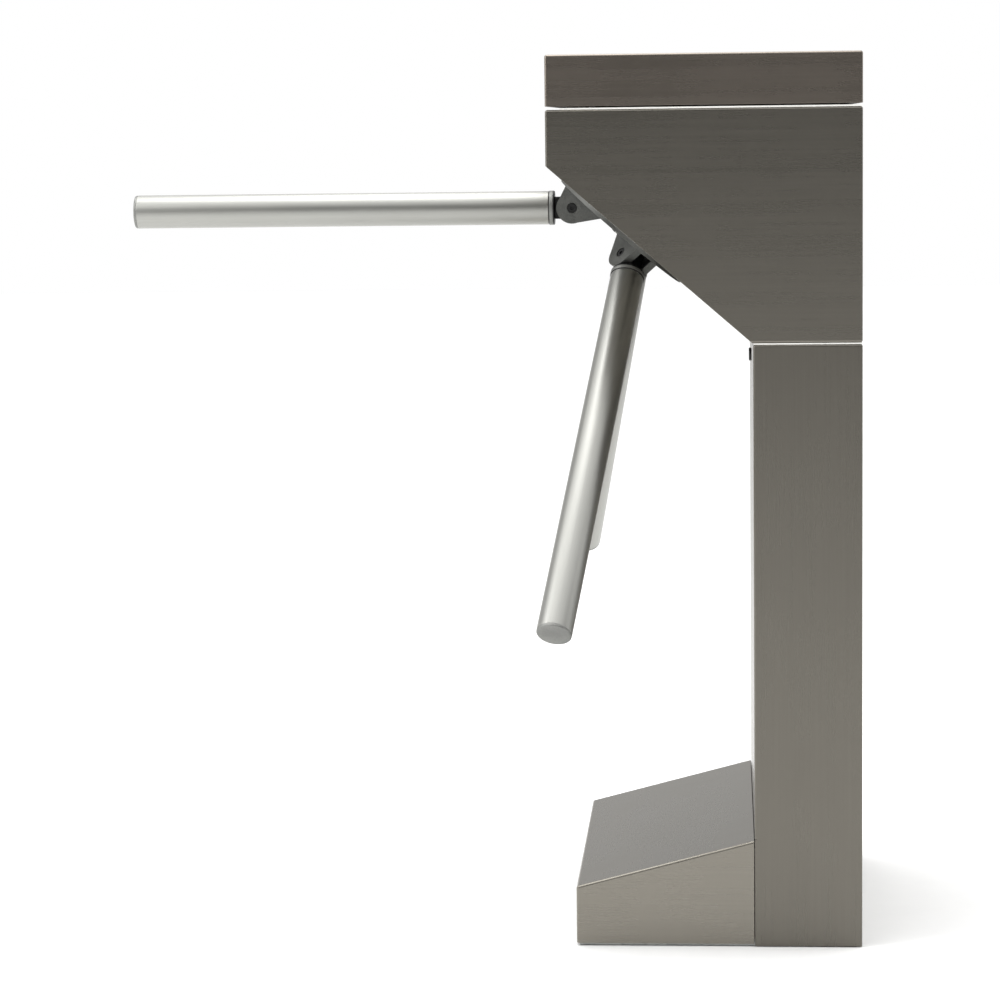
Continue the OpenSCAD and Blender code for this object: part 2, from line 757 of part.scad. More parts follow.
module pawl(s) {
    z0 = pawl_mid - pawl_t / 2;
    tip_y = lock_r - notch_depth + 2 - pawl_y;
    color(bright) on_side(s) translate([pawl_x, pawl_y, z0]) rotate([0, 0, pawl_lift]) difference() {
        union() {
            cylinder(r = post_r + 5, h = pawl_t);
            linear_extrude(pawl_t) polygon([[0, -7], [-pawl_x - 4, 3], [-pawl_x - 4, tip_y],
                [-pawl_x + 4, tip_y], [-pawl_x + 4, 14], [0, 8]]);
            box_between([-pawl_tail - 6, -5, 0], [0, 5, pawl_t]);
        }
        translate([0, 0, -1]) cylinder(r = post_r + run_fit, h = pawl_t + 2);
        box_between([-pawl_tail - 3.5, -2.3, -1], [-pawl_tail + 4.5, 2.3, pawl_t + 1]);
    }
}

module plunger(s) {
    fork_half = pawl_t / 2 + 1;
    fork_t = 3;
    fork_end = 14;
    color(bright) on_side(s) translate([plunger_mid, plunger_y, pawl_mid]) {
        for (t = [-1, 1]) box_between([-4, -5, t > 0 ? fork_half : -fork_half - fork_t],
            [4, fork_end, t > 0 ? fork_half + fork_t : -fork_half]);
        box_between([-4, 8, -fork_half - fork_t], [4, fork_end, fork_half + fork_t]);
        translate([0, 0, -fork_half - 1]) cylinder(r = fork_pin_r, h = 2 * fork_half + 2);
        translate([0, fork_end - 1, 0]) y_cylinder(plunger_r, solenoid_y0 - plunger_y + 10);
    }
}

// Points round a coil spring's wire, one ring at a time
function coil_ring(t, turns, len, r, wire) =
    let (a = 360 * turns * t, y = wire + (len - 2 * wire) * t)
    [for (k = [0:5]) let (b = 60 * k, q = r + wire * cos(b)) [q * cos(a), y + wire * sin(b), q * sin(a)]];

module coil(turns, len, r, wire) {
    n = turns * 12;
    points = [for (i = [0:n]) each coil_ring(i / n, turns, len, r, wire)];
    sides = [for (i = [0:n - 1], k = [0:5]) let (m = (k + 1) % 6)
        each [[i * 6 + k, (i + 1) * 6 + k, (i + 1) * 6 + m], [i * 6 + k, (i + 1) * 6 + m, i * 6 + m]]];
    first = [for (k = [1:4]) [0, k, k + 1]];
    last = [for (k = [1:4]) [n * 6, n * 6 + k + 1, n * 6 + k]];
    polyhedron(points, concat(sides, first, last));
}

module pawl_spring(s) {
    start = plunger_y + 14.2;
    color(bright) on_side(s) translate([plunger_mid, start, pawl_mid])
        coil(5, solenoid_y0 - start - 0.2, 6.6, 0.8);
}

module solenoids() {
    for (s = [-1, 1]) on_side(s) {
        color(dark) difference() {
            box_between([plunger_x - solenoid_half, solenoid_y0, pawl_mid - solenoid_half],
                [plunger_x + solenoid_half, solenoid_y1, pawl_mid + solenoid_half]);
            translate([plunger_mid, solenoid_y0 - 1, pawl_mid])
                y_cylinder(plunger_r + run_fit, solenoid_y1 - solenoid_y0 - 4);
        }
        color(zinc) box_between([plunger_x - solenoid_half - 4, solenoid_y0, pawl_mid - solenoid_half],
            [plunger_x - solenoid_half, solenoid_y1, chassis_in]);
    }
}

module main_gear() {
    color(bright) at_hub() difference() {
        union() {
            translate([0, 0, gear_z]) linear_extrude(gear_t) polygon(gear_points(gear_teeth));
            translate([0, 0, gear_z - 5]) cylinder(r = boss_r, h = 6);
        }
        translate([0, 0, gear_z - 10]) cylinder(r = shaft_r, h = gear_t + 20);
        for (a = [0:60:300]) rotate([0, 0, a]) translate([36, 0, gear_z - 1]) cylinder(r = 9, h = gear_t + 2);
    }
}

module pinion(angle, shaft_len) {
    color(bright) at_hub() rotate([0, 0, angle]) translate([mesh_dist, 0, gear_z]) {
        rotate([0, 0, mesh_turn(angle) - angle]) linear_extrude(gear_t) polygon(gear_points(pinion_teeth));
        translate([0, 0, -shaft_len]) cylinder(r = pinion_shaft_r, h = shaft_len + 1);
    }
}

module damper_pinion() {
    pinion(damper_turn, 20);
}

module counter_pinion() {
    pinion(counter_turn, gear_z - rear_z + 14);
}

module rear_plate() {
    color(zinc) at_hub() {
        difference() {
            box_between([-122, -93, rear_z], [50, 93, rear_z + rear_t]);
            translate([0, 0, rear_z - 1]) cylinder(r = shaft_r + 3, h = rear_t + 2);
            translate([counter_x, counter_y, rear_z - 1])
                cylinder(r = pinion_shaft_r + run_fit, h = rear_t + 2);
        }
        for (p = [[25, 85], [25, -85], [-115, 50], [-115, -50]])
            translate([p[0], p[1], rear_in - 1]) cylinder(r = post_r, h = chassis_in - rear_in + 1);
        box_between([spring_x - 10, spring_y0, rear_in - 1], [spring_x, spring_y0 + 14, cam_z + cam_t + 4]);
    }
}

module damper_body() {
    z1 = gear_z - 4;
    color(dark) at_hub() rotate([0, 0, damper_turn]) translate([mesh_dist, 0, 0]) difference() {
        translate([0, 0, rear_in]) cylinder(r = 20, h = z1 - rear_in);
        translate([0, 0, z1 - 18]) cylinder(r = pinion_shaft_r + run_fit, h = 20);
    }
}

module counter_body() {
    color(dark) at_hub() difference() {
        box_between([counter_x - 14, counter_y - 22, rear_z - 36], [drum_x + 16, counter_y + 22, rear_z]);
        translate([counter_x, counter_y, rear_z - 16]) cylinder(r = pinion_shaft_r + run_fit, h = 20);
        translate([drum_x, counter_y, rear_z - 33]) cylinder(r = drum_r + 0.8, h = 30);
        box_between([drum_x, counter_y - 7, rear_z - 31], [drum_x + 17, counter_y + 7, rear_z - 5]);
    }
    color(zinc) at_hub() translate([drum_x, counter_y, rear_z - 34]) cylinder(r = axle_r, h = 32);
}

module number_wheel(k) {
    color(bright) at_hub() translate([drum_x, counter_y, rear_z - 12 - k * (drum_w + 1)])
        ring(drum_r, axle_r + run_fit, drum_w);
}

module counter_units_wheel() { number_wheel(0); }
module counter_tens_wheel() { number_wheel(1); }
module counter_hundreds_wheel() { number_wheel(2); }

module detent_cam() {
    color(cast) at_hub() difference() {
        translate([0, 0, cam_z]) cylinder(r = 34, h = cam_t);
        translate([0, 0, cam_z - 1]) cylinder(r = shaft_r, h = cam_t + 2);
        for (a = [0:120:240]) rotate([0, 0, a]) translate([detent_x + 1.5, 0, cam_z - 1])
            cylinder(r = 8.4, h = cam_t + 2);
    }
}

module detent_spring() {
    z0 = cam_z + 1;
    color(bright) at_hub() {
        box_between([spring_x, spring_y0, z0], [spring_x + 1.5, 14, z0 + spring_w]);
        box_between([detent_x, -6, z0], [spring_x + 0.5, 6, z0 + spring_w]);
        translate([detent_x, 0, z0]) cylinder(r = 6.5, h = spring_w);
    }
}

module encoder_disc() {
    color(dark) at_hub() difference() {
        union() {
            translate([0, 0, encoder_z]) cylinder(r = 40, h = 2);
            translate([0, 0, shaft_end]) cylinder(r = 17, h = cam_z - shaft_end);
        }
        translate([0, 0, shaft_end - 1]) cylinder(r = shaft_r, h = 30);
        for (a = [0:30:330]) rotate([0, 0, a]) box_between([30, -2, encoder_z - 1], [37, 2, encoder_z + 3]);
    }
}

module encoder_sensors() {
    color(dark) at_hub() for (a = [85, 50]) rotate([0, 0, a]) difference() {
        box_between([31, -6, rear_in], [48, 6, encoder_z + 9]);
        box_between([30, -7, encoder_z - 2], [43, 7, encoder_z + 5]);
    }
}

module control_board() {
    board_t = 2;
    spacer_x = board_x + board_t;
    color(green) box_between([board_x, -board_half, board_z0], [spacer_x, board_half, board_z1]);
    color(zinc) for (y = [10 - board_half, board_half - 10], z = [board_z0 + 10, board_z1 - 10])
        translate([spacer_x, y, z]) x_cylinder(4, wall_x - spacer_x);
    color(dark) {
        box_between([board_x - 12, -50, board_z0 + 30], [board_x, -10, board_z0 + 70]);
        box_between([board_x - 8, 10, board_z0 + 90], [board_x, 50, board_z0 + 150]);
        box_between([board_x - 16, -60, board_z0 + 2], [board_x, 60, board_z0 + 16]);
    }
}

module power_supply() {
    psu_t = 50;
    color(zinc) difference() {
        box_between([wall_x - psu_t, -psu_half, psu_z0], [wall_x, psu_half, psu_z1]);
        for (z = [psu_z0 + 20:12:psu_z0 + 110])
            box_between([wall_x - psu_t - 1, -40, z], [wall_x - psu_t + 2, 40, z + 5]);
    }
}

base_plate();
base_cover();
base_cover_screws();
column_frame();
column_shell();
service_panel();
panel_hinge_brackets();
panel_hinge_leaves();
panel_lock_body();
panel_lock_plug();
head_shell();
face_plate();
lid();
lid_hinge_brackets();
lid_hinge_leaves();
lid_lock_body();
lid_lock_plug();
lid_catch();
chassis_brackets();
chassis_plate();
bearing_housing();
housing_bolts();
bearings();
main_shaft();
hub();
hub_bolt();
clevis_pins();
arm_knuckle(0);  // arm_1_knuckle
arm_tube(0);  // arm_1_tube
arm_cap(0);  // arm_1_cap
arm_knuckle(1);  // arm_2_knuckle
arm_tube(1);  // arm_2_tube
arm_cap(1);  // arm_2_cap
arm_knuckle(2);  // arm_3_knuckle
arm_tube(2);  // arm_3_tube
arm_cap(2);  // arm_3_cap
lock_wheel();
pawl_posts();
pawl(-1);  // entry_pawl
pawl(1);  // exit_pawl
plunger(-1);  // entry_plunger
plunger(1);  // exit_plunger
pawl_spring(-1);  // entry_spring
pawl_spring(1);  // exit_spring
solenoids();
main_gear();
rear_plate();
damper_body();
damper_pinion();
counter_body();
counter_pinion();
counter_units_wheel();
counter_tens_wheel();
counter_hundreds_wheel();
detent_cam();
detent_spring();
encoder_disc();
encoder_sensors();
control_board();
power_supply();
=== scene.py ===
"""Looks of a tripod turnstile: sheet steel covers, hub, folding arms and the mechanism under the lid."""
import json
import math

import bmesh
import bpy
from bpy.props import FloatProperty, FloatVectorProperty, IntProperty, PointerProperty
from mathutils import Matrix, Vector

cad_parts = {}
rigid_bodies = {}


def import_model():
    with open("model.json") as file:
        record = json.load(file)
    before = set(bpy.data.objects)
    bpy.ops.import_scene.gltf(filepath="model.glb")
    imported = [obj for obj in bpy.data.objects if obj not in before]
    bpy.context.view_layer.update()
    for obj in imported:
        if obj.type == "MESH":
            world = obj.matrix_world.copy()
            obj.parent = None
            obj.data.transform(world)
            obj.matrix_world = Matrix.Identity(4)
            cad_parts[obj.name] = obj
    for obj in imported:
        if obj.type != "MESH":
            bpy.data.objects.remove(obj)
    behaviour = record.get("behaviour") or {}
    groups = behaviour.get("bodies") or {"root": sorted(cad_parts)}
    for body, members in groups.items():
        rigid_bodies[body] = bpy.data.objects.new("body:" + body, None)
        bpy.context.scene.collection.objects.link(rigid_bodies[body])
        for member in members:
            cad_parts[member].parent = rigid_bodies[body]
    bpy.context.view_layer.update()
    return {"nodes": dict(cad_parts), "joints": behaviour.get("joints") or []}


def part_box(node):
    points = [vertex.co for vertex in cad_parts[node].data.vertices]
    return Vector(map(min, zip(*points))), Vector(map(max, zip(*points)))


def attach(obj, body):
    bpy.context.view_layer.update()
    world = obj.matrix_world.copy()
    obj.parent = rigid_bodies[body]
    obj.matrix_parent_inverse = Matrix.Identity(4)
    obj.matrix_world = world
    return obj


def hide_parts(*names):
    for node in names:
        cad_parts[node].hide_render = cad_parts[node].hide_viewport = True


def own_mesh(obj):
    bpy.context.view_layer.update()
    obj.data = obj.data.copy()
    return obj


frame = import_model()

bl_info = {
    "name": "Tripod Turnstile",
    "version": (1, 0, 0),
    "blender": (4, 5, 0),
    "location": "3D View > Sidebar > Turnstile",
    "description": "Builds the visible pieces of a tripod turnstile around its frame",
    "category": "Object",
}

MM = 0.001
SHELL = "shell_steel"
ALONG_X = (1, 0, 0)
SHEET_EDGE = 0.35 * MM      # rounding of a cut sheet edge
MERGE = 1e-6                # corners closer than this, in metres, are one
SMOOTH_BELOW = 35           # degrees between two faces that still shade as one
LEVEL = 0.99                # smallest Z of a level face's normal


# ---------------------------------------------------------------- sizes read from the frame

def corners(node):
    """Lowest and highest corner of a frame node."""
    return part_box(node)


def middle(node):
    """Middle of a frame node's box."""
    low, high = corners(node)
    return (low + high) / 2


def joint(name):
    """One joint of the record, by name."""
    return next(j for j in frame["joints"] if j["name"] == name)


def hub_frame():
    """Matrix of the hub: origin on the slanted plate, +Z out of it, +X up the slant, +Y as the row."""
    spin = joint("hub_spin")
    out = Vector(spin["axis"]).normalized()
    side = Vector((0, 1, 0))
    up = side.cross(out)
    m = Matrix((up, side, out)).transposed().to_4x4()
    m.translation = Vector(spin["pos_m"])
    return m


def arm_frame(i):
    """Matrix of an arm: origin on its pin, +Z along the tube, +Y along the pin."""
    fold = joint(f"arm_{i}_fold")
    pin = Vector(fold["pos_m"])
    mesh = frame["nodes"][f"arm_{i}_cap"].data
    tip = sum((v.co for v in mesh.vertices), Vector()) / len(mesh.vertices)
    along = (tip - pin).normalized()
    side = -Vector(fold["axis"]).normalized()
    along = (along - along.dot(side) * side).normalized()
    m = Matrix((side.cross(along), side, along)).transposed().to_4x4()
    m.translation = pin
    return m


def local_extent(node, m):
    """Lowest and highest corner of a node in the frame of a matrix, and its largest radius about +Z."""
    inv = m.inverted()
    pts = [inv @ v.co for v in frame["nodes"][node].data.vertices]
    low = Vector([min(p[k] for p in pts) for k in range(3)])
    high = Vector([max(p[k] for p in pts) for k in range(3)])
    return low, high, max(math.hypot(p.x, p.y) for p in pts)


# ---------------------------------------------------------------- settings

class TurnstileShellSettings(bpy.types.PropertyGroup):
    """Sheet steel covers."""
    bend_radius: FloatProperty(name="Bend radius", description="Outer radius of a folded edge",
                               default=2.6 * MM, min=0.5 * MM, max=6 * MM, unit="LENGTH")
    sheet: FloatProperty(name="Sheet", description="Thickness of the sheet", default=1.9 * MM,
                         min=0.8 * MM, max=3 * MM, unit="LENGTH")
    flange: FloatProperty(name="Flange", description="Width of an inward flange", default=11.5 * MM,
                          min=5 * MM, max=20 * MM, unit="LENGTH")
    colour: FloatVectorProperty(name="Steel", description="Base colour of the brushed steel",
                                default=(0.19, 0.178, 0.154), min=0, max=1, subtype="COLOR")
    roughness: FloatProperty(name="Roughness", description="Mean roughness of the brushed steel",
                             default=0.27, min=0.05, max=1)


class TurnstileArmSettings(bpy.types.PropertyGroup):
    """Arms, knuckles and hub."""
    edge: FloatProperty(name="Edge", description="Rounding of the tube ends", default=0.7 * MM,
                        min=0.1 * MM, max=2 * MM, unit="LENGTH")
    facets: IntProperty(name="Facets", description="Sides of a turned piece", default=96, min=24, max=256)
    colour: FloatVectorProperty(name="Arm steel", description="Base colour of the arm tubes",
                                default=(0.35, 0.35, 0.33), min=0, max=1, subtype="COLOR")
    cast: FloatVectorProperty(name="Cast metal", description="Base colour of the hub casting",
                              default=(0.13, 0.132, 0.124), min=0, max=1, subtype="COLOR")


class TurnstileStageSettings(bpy.types.PropertyGroup):
    """Camera and studio."""
    lens: FloatProperty(name="Lens", description="Focal length in millimetres on a 36 mm sensor",
                        default=114.29, min=20, max=300)
    camera_place: FloatVectorProperty(name="Camera", description="Place of the camera",
                                      default=(0.00862, -3.66592, 0.90314), subtype="TRANSLATION")
    yaw: FloatProperty(name="Yaw", description="Turn of the view towards +X", default=math.radians(-4.084),
                       subtype="ANGLE")
    pitch: FloatProperty(name="Pitch", description="Tilt of the view upwards", default=math.radians(-6.695),
                         subtype="ANGLE")
    roll: FloatProperty(name="Roll", description="Turn of the view about its own axis",
                        default=math.radians(-0.716), subtype="ANGLE")


# ---------------------------------------------------------------- materials

MATERIALS = {}


class Nodes:
    """Adds nodes to one tree and joins them."""

    def __init__(self, tree):
        self.tree = tree

    def node(self, kind, **values):
        """A new node, with its own settings and its sockets' values."""
        n = self.tree.nodes.new(kind)
        for key, value in values.items():
            if hasattr(n, key):
                setattr(n, key, value)
            else:
                n.inputs[key.replace("_", " ")].default_value = value
        return n

    def link(self, a, b):
        self.tree.links.new(a, b)

    def maths(self, operation, a, b):
        n = self.node("ShaderNodeMath", operation=operation)
        for k, v in enumerate((a, b)):
            if isinstance(v, (int, float)):
                n.inputs[k].default_value = v
            else:
                self.link(v, n.inputs[k])
        return n.outputs["Value"]


class Finish(Nodes):
    """One node material."""

    def __init__(self, name):
        self.mat = bpy.data.materials.new(name)
        self.mat.use_nodes = True
        super().__init__(self.mat.node_tree)
        self.shader = self.tree.nodes["Principled BSDF"]
        MATERIALS[name] = self.mat

    def fixed(self, **values):
        for key, value in values.items():
            self.shader.inputs[key.replace("_", " ")].default_value = value

    def place(self, scale, attribute=None, turn=(0, 0, 0)):
        """Coordinates for a pattern: the object's own, or a stored vector attribute."""
        if attribute:
            source = self.node("ShaderNodeAttribute", attribute_name=attribute).outputs["Vector"]
        else:
            source = self.node("ShaderNodeTexCoord").outputs["Object"]
        m = self.node("ShaderNodeMapping", Scale=scale, Rotation=turn)
        self.link(source, m.inputs["Vector"])
        return m.outputs["Vector"]

    def even(self, scale):
        """The object's own coordinates, scaled alike on every axis."""
        return self.place((scale, scale, scale))

    def noise(self, where, detail, rough):
        n = self.node("ShaderNodeTexNoise", Scale=1.0, Detail=detail, Roughness=rough)
        self.link(where, n.inputs["Vector"])
        return n.outputs["Fac"]

    def span(self, value, low, high, old_low=0.3, old_high=0.7):
        n = self.node("ShaderNodeMapRange", From_Min=old_low, From_Max=old_high, To_Min=low, To_Max=high)
        self.link(value, n.inputs["Value"])
        return n.outputs["Result"]

    def mixed(self, a, share_a, b, share_b):
        """Two patterns added in given shares."""
        return self.maths("ADD", self.maths("MULTIPLY", a, share_a), self.maths("MULTIPLY", b, share_b))

    def blend(self, factor, a, b):
        n = self.node("ShaderNodeMix", data_type="RGBA")
        self.link(factor, n.inputs[0])
        for socket, value in ((n.inputs[6], a), (n.inputs[7], b)):
            socket.default_value = (*value, 1)
        return n.outputs[2]

    def colour(self, value):
        self.link(value, self.shader.inputs["Base Color"])

    def rough(self, value):
        self.link(value, self.shader.inputs["Roughness"])

    def bump(self, height, distance, strength=1.0):
        n = self.node("ShaderNodeBump", Distance=distance, Strength=strength)
        self.link(height, n.inputs["Height"])
        self.link(n.outputs["Normal"], self.shader.inputs["Normal"])


def scaled(colour, k):
    return tuple(min(1.0, c * k) for c in colour[:3])


def around(colour, contrast):
    """A darker and a lighter tone of one colour."""
    return scaled(colour, 1 - contrast), scaled(colour, 1 + contrast)


def brushed(name, colour, rough, grain, flat_grain=None, attribute=None, contrast=0.045, depth=0.000005):
    """Brushed metal. grain is the pattern's scale per axis: small along the grain, large across it."""
    f = Finish(name)
    fine = f.noise(f.place(grain, attribute), 4.0, 0.65)
    broad = f.noise(f.place(tuple(g * 0.16 for g in grain), attribute), 3.0, 0.55)
    if flat_grain:
        normal = f.node("ShaderNodeTexCoord").outputs["Normal"]
        split = f.node("ShaderNodeSeparateXYZ")
        f.link(normal, split.inputs[0])
        facing = f.span(f.maths("ABSOLUTE", split.outputs["Z"], 0), 0, 1, 0.8, 0.9)
        top = f.noise(f.place(flat_grain, attribute), 4.0, 0.65)
        mix = f.node("ShaderNodeMix")
        f.link(facing, mix.inputs[0])
        f.link(fine, mix.inputs[2])
        f.link(top, mix.inputs[3])
        fine = mix.outputs[0]
    cloud = f.noise(f.place((5, 5, 5), attribute), 4.0, 0.6)
    smear = f.noise(f.place((22, 22, 9), attribute), 3.0, 0.6)
    mixed = f.mixed(fine, 0.55, broad, 0.45)
    f.colour(f.blend(f.span(mixed, 0, 1, 0.32, 0.68), *around(colour, contrast)))
    wear = f.maths("ADD", f.span(cloud, -0.014, 0.018), f.span(smear, -0.006, 0.01))
    f.rough(f.maths("ADD", f.span(mixed, rough - 0.018, rough + 0.026), wear))
    f.fixed(Metallic=1.0)
    f.bump(fine, depth, 0.55)
    return f.mat


def cast(name, colour, rough=0.46):
    """Sand-cast metal with a fine grain, darker in its pores and lighter where it is rubbed."""
    f = Finish(name)
    grain = f.noise(f.even(900), 4.0, 0.6)
    lumps = f.noise(f.even(120), 3.0, 0.5)
    rubbed = f.noise(f.even(28), 4.0, 0.6)
    mixed = f.mixed(grain, 0.5, rubbed, 0.5)
    f.colour(f.blend(f.span(mixed, 0, 1, 0.35, 0.65), *around(colour, 0.28)))
    f.rough(f.maths("ADD", f.span(grain, rough - 0.06, rough + 0.1), f.span(rubbed, -0.05, 0.05)))
    f.fixed(Metallic=0.85)
    f.bump(f.maths("ADD", grain, f.maths("MULTIPLY", lumps, 1.6)), 0.00022, 0.8)
    return f.mat


def coated(name, colour, rough, metallic=0.0, grain=700, mottle=0.14, depth=0.00005):
    """Paint, plating or moulded plastic: a fine orange-peel grain and slow mottling."""
    f = Finish(name)
    fine = f.noise(f.even(grain), 3.0, 0.55)
    slow = f.noise(f.even(16), 4.0, 0.6)
    scuff = f.noise(f.place((60, 9, 60)), 4.0, 0.7)
    mixed = f.mixed(slow, 0.7, fine, 0.3)
    f.colour(f.blend(f.span(mixed, 0, 1, 0.36, 0.64), *around(colour, mottle)))
    f.rough(f.maths("ADD", f.span(fine, rough - 0.04, rough + 0.06),
                    f.span(scuff, -0.03, 0.07, 0.45, 0.75)))
    f.fixed(Metallic=metallic)
    f.bump(fine, depth, 0.7)
    return f.mat


def zinc(name):
    """Zinc plating: large faint crystals over a dull grey."""
    f = Finish(name)
    cells = f.node("ShaderNodeTexVoronoi", Scale=1.0)
    f.link(f.even(95), cells.inputs["Vector"])
    fine = f.noise(f.even(420), 3.0, 0.6)
    slow = f.noise(f.even(14), 4.0, 0.6)
    split = f.node("ShaderNodeSeparateColor")
    f.link(cells.outputs["Color"], split.inputs[0])
    mixed = f.mixed(split.outputs[0], 0.35, slow, 0.65)
    f.colour(f.blend(f.span(mixed, 0, 1, 0.2, 0.75), (0.36, 0.37, 0.365), (0.56, 0.57, 0.55)))
    f.rough(f.maths("ADD", f.span(fine, 0.36, 0.48), f.span(slow, -0.04, 0.06)))
    f.fixed(Metallic=0.9)
    f.bump(fine, 0.00004, 0.6)
    return f.mat


def board_green(name):
    """Solder mask over copper tracks."""
    f = Finish(name)
    tracks = f.node("ShaderNodeTexBrick", Color1=(0.02, 0.16, 0.07, 1), Color2=(0.025, 0.2, 0.09, 1),
                    Mortar=(0.05, 0.3, 0.14, 1))
    f.link(f.place((90, 90, 90), None, (0, math.radians(90), 0)), tracks.inputs["Vector"])
    fine = f.noise(f.even(300), 2.0, 0.5)
    f.colour(tracks.outputs["Color"])
    f.rough(f.span(fine, 0.2, 0.32))
    f.fixed(Coat_Weight=0.4)
    f.bump(fine, 0.00004, 0.4)
    return f.mat


def make_materials():
    """Every finish, by name."""
    shell = bpy.context.scene.turnstile_shell
    arms = bpy.context.scene.turnstile_arms
    c = tuple(shell.colour)
    level = (7, 7, 450)
    upright = (450, 450, 7)
    # Every cover is one brushed steel. Its colour is scaled by a different factor for each cover (darkest
    # on the column, lightest on the base and the lid), and the lid's steel is also made warmer. The
    # brightness factors are painted light: they stand in for how much light each cover reflects, not for a
    # different steel.
    lid_tint = (c[0] * 1.01, c[1] * 0.95, c[2] * 0.945)
    brushed("steel_level", scaled(c, 0.9), shell.roughness, level, (7, 450, 7))
    brushed("steel_lid", scaled(lid_tint, 1.12), shell.roughness, level, (7, 450, 7))
    brushed("steel_upright", scaled(c, 0.82), shell.roughness, upright, (7, 450, 7))
    brushed("steel_base", scaled(c, 1.2), shell.roughness, level, (450, 7, 7))
    brushed("arm_steel", tuple(arms.colour), 0.4, (500, 500, 9), attribute="piece",
            contrast=0.05, depth=0.000012)
    brushed("machined", (0.55, 0.55, 0.54), 0.24, (260, 260, 260), contrast=0.08)
    brushed("spring_steel", (0.45, 0.45, 0.46), 0.25, (300, 300, 300), contrast=0.1)
    brushed("lock_chrome", (0.62, 0.62, 0.61), 0.16, (240, 240, 240), contrast=0.06)
    coated("lock_dark", (0.05, 0.05, 0.05), 0.3, metallic=0.6, grain=500, mottle=0.2)
    coated("pin_black", (0.006, 0.006, 0.006), 0.45, metallic=0.2, grain=500, mottle=0.3)
    cast("cast_grey", tuple(arms.cast))
    cast("cap_grey", (0.24, 0.242, 0.23), 0.5)
    cast("housing_grey", (0.24, 0.25, 0.26), 0.55)
    coated("blackened", (0.02, 0.02, 0.02), 0.36, metallic=0.7, grain=500, mottle=0.3)
    coated("black_plastic", (0.018, 0.018, 0.02), 0.42)
    coated("white_plastic", (0.72, 0.72, 0.69), 0.38, grain=500, mottle=0.04)
    coated("digit_ink", (0.012, 0.012, 0.012), 0.5)
    # Pale foam of the seals. Its pale colour is also a painted highlight, standing in for the bright line
    # along the seams between covers.
    coated("foam_pale", (0.85, 0.84, 0.8), 0.6, grain=900, mottle=0.06)
    coated("floor_white", (0.86, 0.86, 0.855), 0.6, grain=40, mottle=0.01, depth=0.00002)
    coated("core_nickel", (0.30, 0.27, 0.20), 0.3, metallic=0.9, grain=600, mottle=0.2)
    coated("amber_part", (0.42, 0.24, 0.05), 0.35)
    coated("blue_part", (0.03, 0.07, 0.2), 0.35)
    zinc("zinc")
    board_green("board_green")


# ---------------------------------------------------------------- mesh helpers

def own(name, bm, material, m=None, smooth=SMOOTH_BELOW):
    """A new object from a bmesh, with its local places stored, then moved into the row frame."""
    mesh = bpy.data.meshes.new(name)
    bmesh.ops.recalc_face_normals(bm, faces=bm.faces)
    bm.to_mesh(mesh)
    bm.free()
    store = mesh.attributes.new("piece", "FLOAT_VECTOR", "POINT")
    for i, v in enumerate(mesh.vertices):
        store.data[i].vector = v.co
    if m:
        mesh.transform(m)
    shade(mesh, smooth)
    mesh.materials.append(MATERIALS[material])
    return linked(name, mesh)


def shade(mesh, degrees):
    mesh.polygons.foreach_set("use_smooth", [True] * len(mesh.polygons))
    mesh.set_sharp_from_angle(angle=math.radians(degrees))
    mesh.update()


def linked(name, data):
    """A new object in the scene."""
    obj = bpy.data.objects.new(name, data)
    bpy.context.scene.collection.objects.link(obj)
    return obj


def result(obj):
    """An object as its modifiers leave it, as a new plain mesh."""
    graph = bpy.context.evaluated_depsgraph_get()
    return bpy.data.meshes.new_from_object(obj.evaluated_get(graph))


def bake(obj):
    """Turns an object's modifiers into plain mesh."""
    mesh = result(obj)
    obj.modifiers.clear()
    old = obj.data
    obj.data = mesh
    bpy.data.meshes.remove(old)


def realise(obj):
    """Turns an object's modifiers into plain mesh and keeps its large faces flat in the light."""
    bake(obj)
    shade(obj.data, SMOOTH_BELOW)
    even = obj.modifiers.new("even", "WEIGHTED_NORMAL")
    even.keep_sharp = True
    even.weight = 100
    bake(obj)
    return obj


def settle(obj, body, slot, *nodes):
    """Gives a finished piece its body and hides the nodes it stands for; slot is not used."""
    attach(obj, body)
    if nodes:
        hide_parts(*nodes)
    return obj


def prism(bm, outline, y0, y1):
    """A closed prism: an outline in X and Z drawn out along Y. Returns its side faces in order."""
    front = [bm.verts.new((x, y0, z)) for x, z in outline]
    back = [bm.verts.new((x, y1, z)) for x, z in outline]
    n = len(outline)
    sides = [bm.faces.new((front[i], front[(i + 1) % n], back[(i + 1) % n], back[i])) for i in range(n)]
    bm.faces.new(front[::-1])
    bm.faces.new(back)
    return sides


def fold_edges(bm, radius, kept=()):
    """Rounds every edge between two faces, apart from the kept ones."""
    edges = [e for e in bm.edges if len(e.link_faces) == 2 and e not in kept]
    bmesh.ops.bevel(bm, geom=edges, offset=radius, segments=4, profile=0.5,
                    affect="EDGES", clamp_overlap=True, offset_type="OFFSET")


def raised(made):
    """The corners that an extrusion added."""
    return [v for v in made["geom"] if isinstance(v, bmesh.types.BMVert)]


def ease_edges(obj, width, above):
    """Rounds the edges that turn by more than an angle in degrees, and makes the result plain mesh."""
    ease = obj.modifiers.new("ease", "BEVEL")
    ease.width = width
    ease.segments = 2
    ease.limit_method = "ANGLE"
    ease.angle_limit = math.radians(above)
    return realise(obj)


def shell_piece(name, bm, material, thickness):
    """Gives a folded skin its wall inwards and eases its cut edges."""
    obj = own(name, bm, material)
    wall = obj.modifiers.new("wall", "SOLIDIFY")
    wall.thickness = thickness
    wall.offset = -1
    wall.use_even_offset = True
    return ease_edges(obj, SHEET_EDGE, 60)


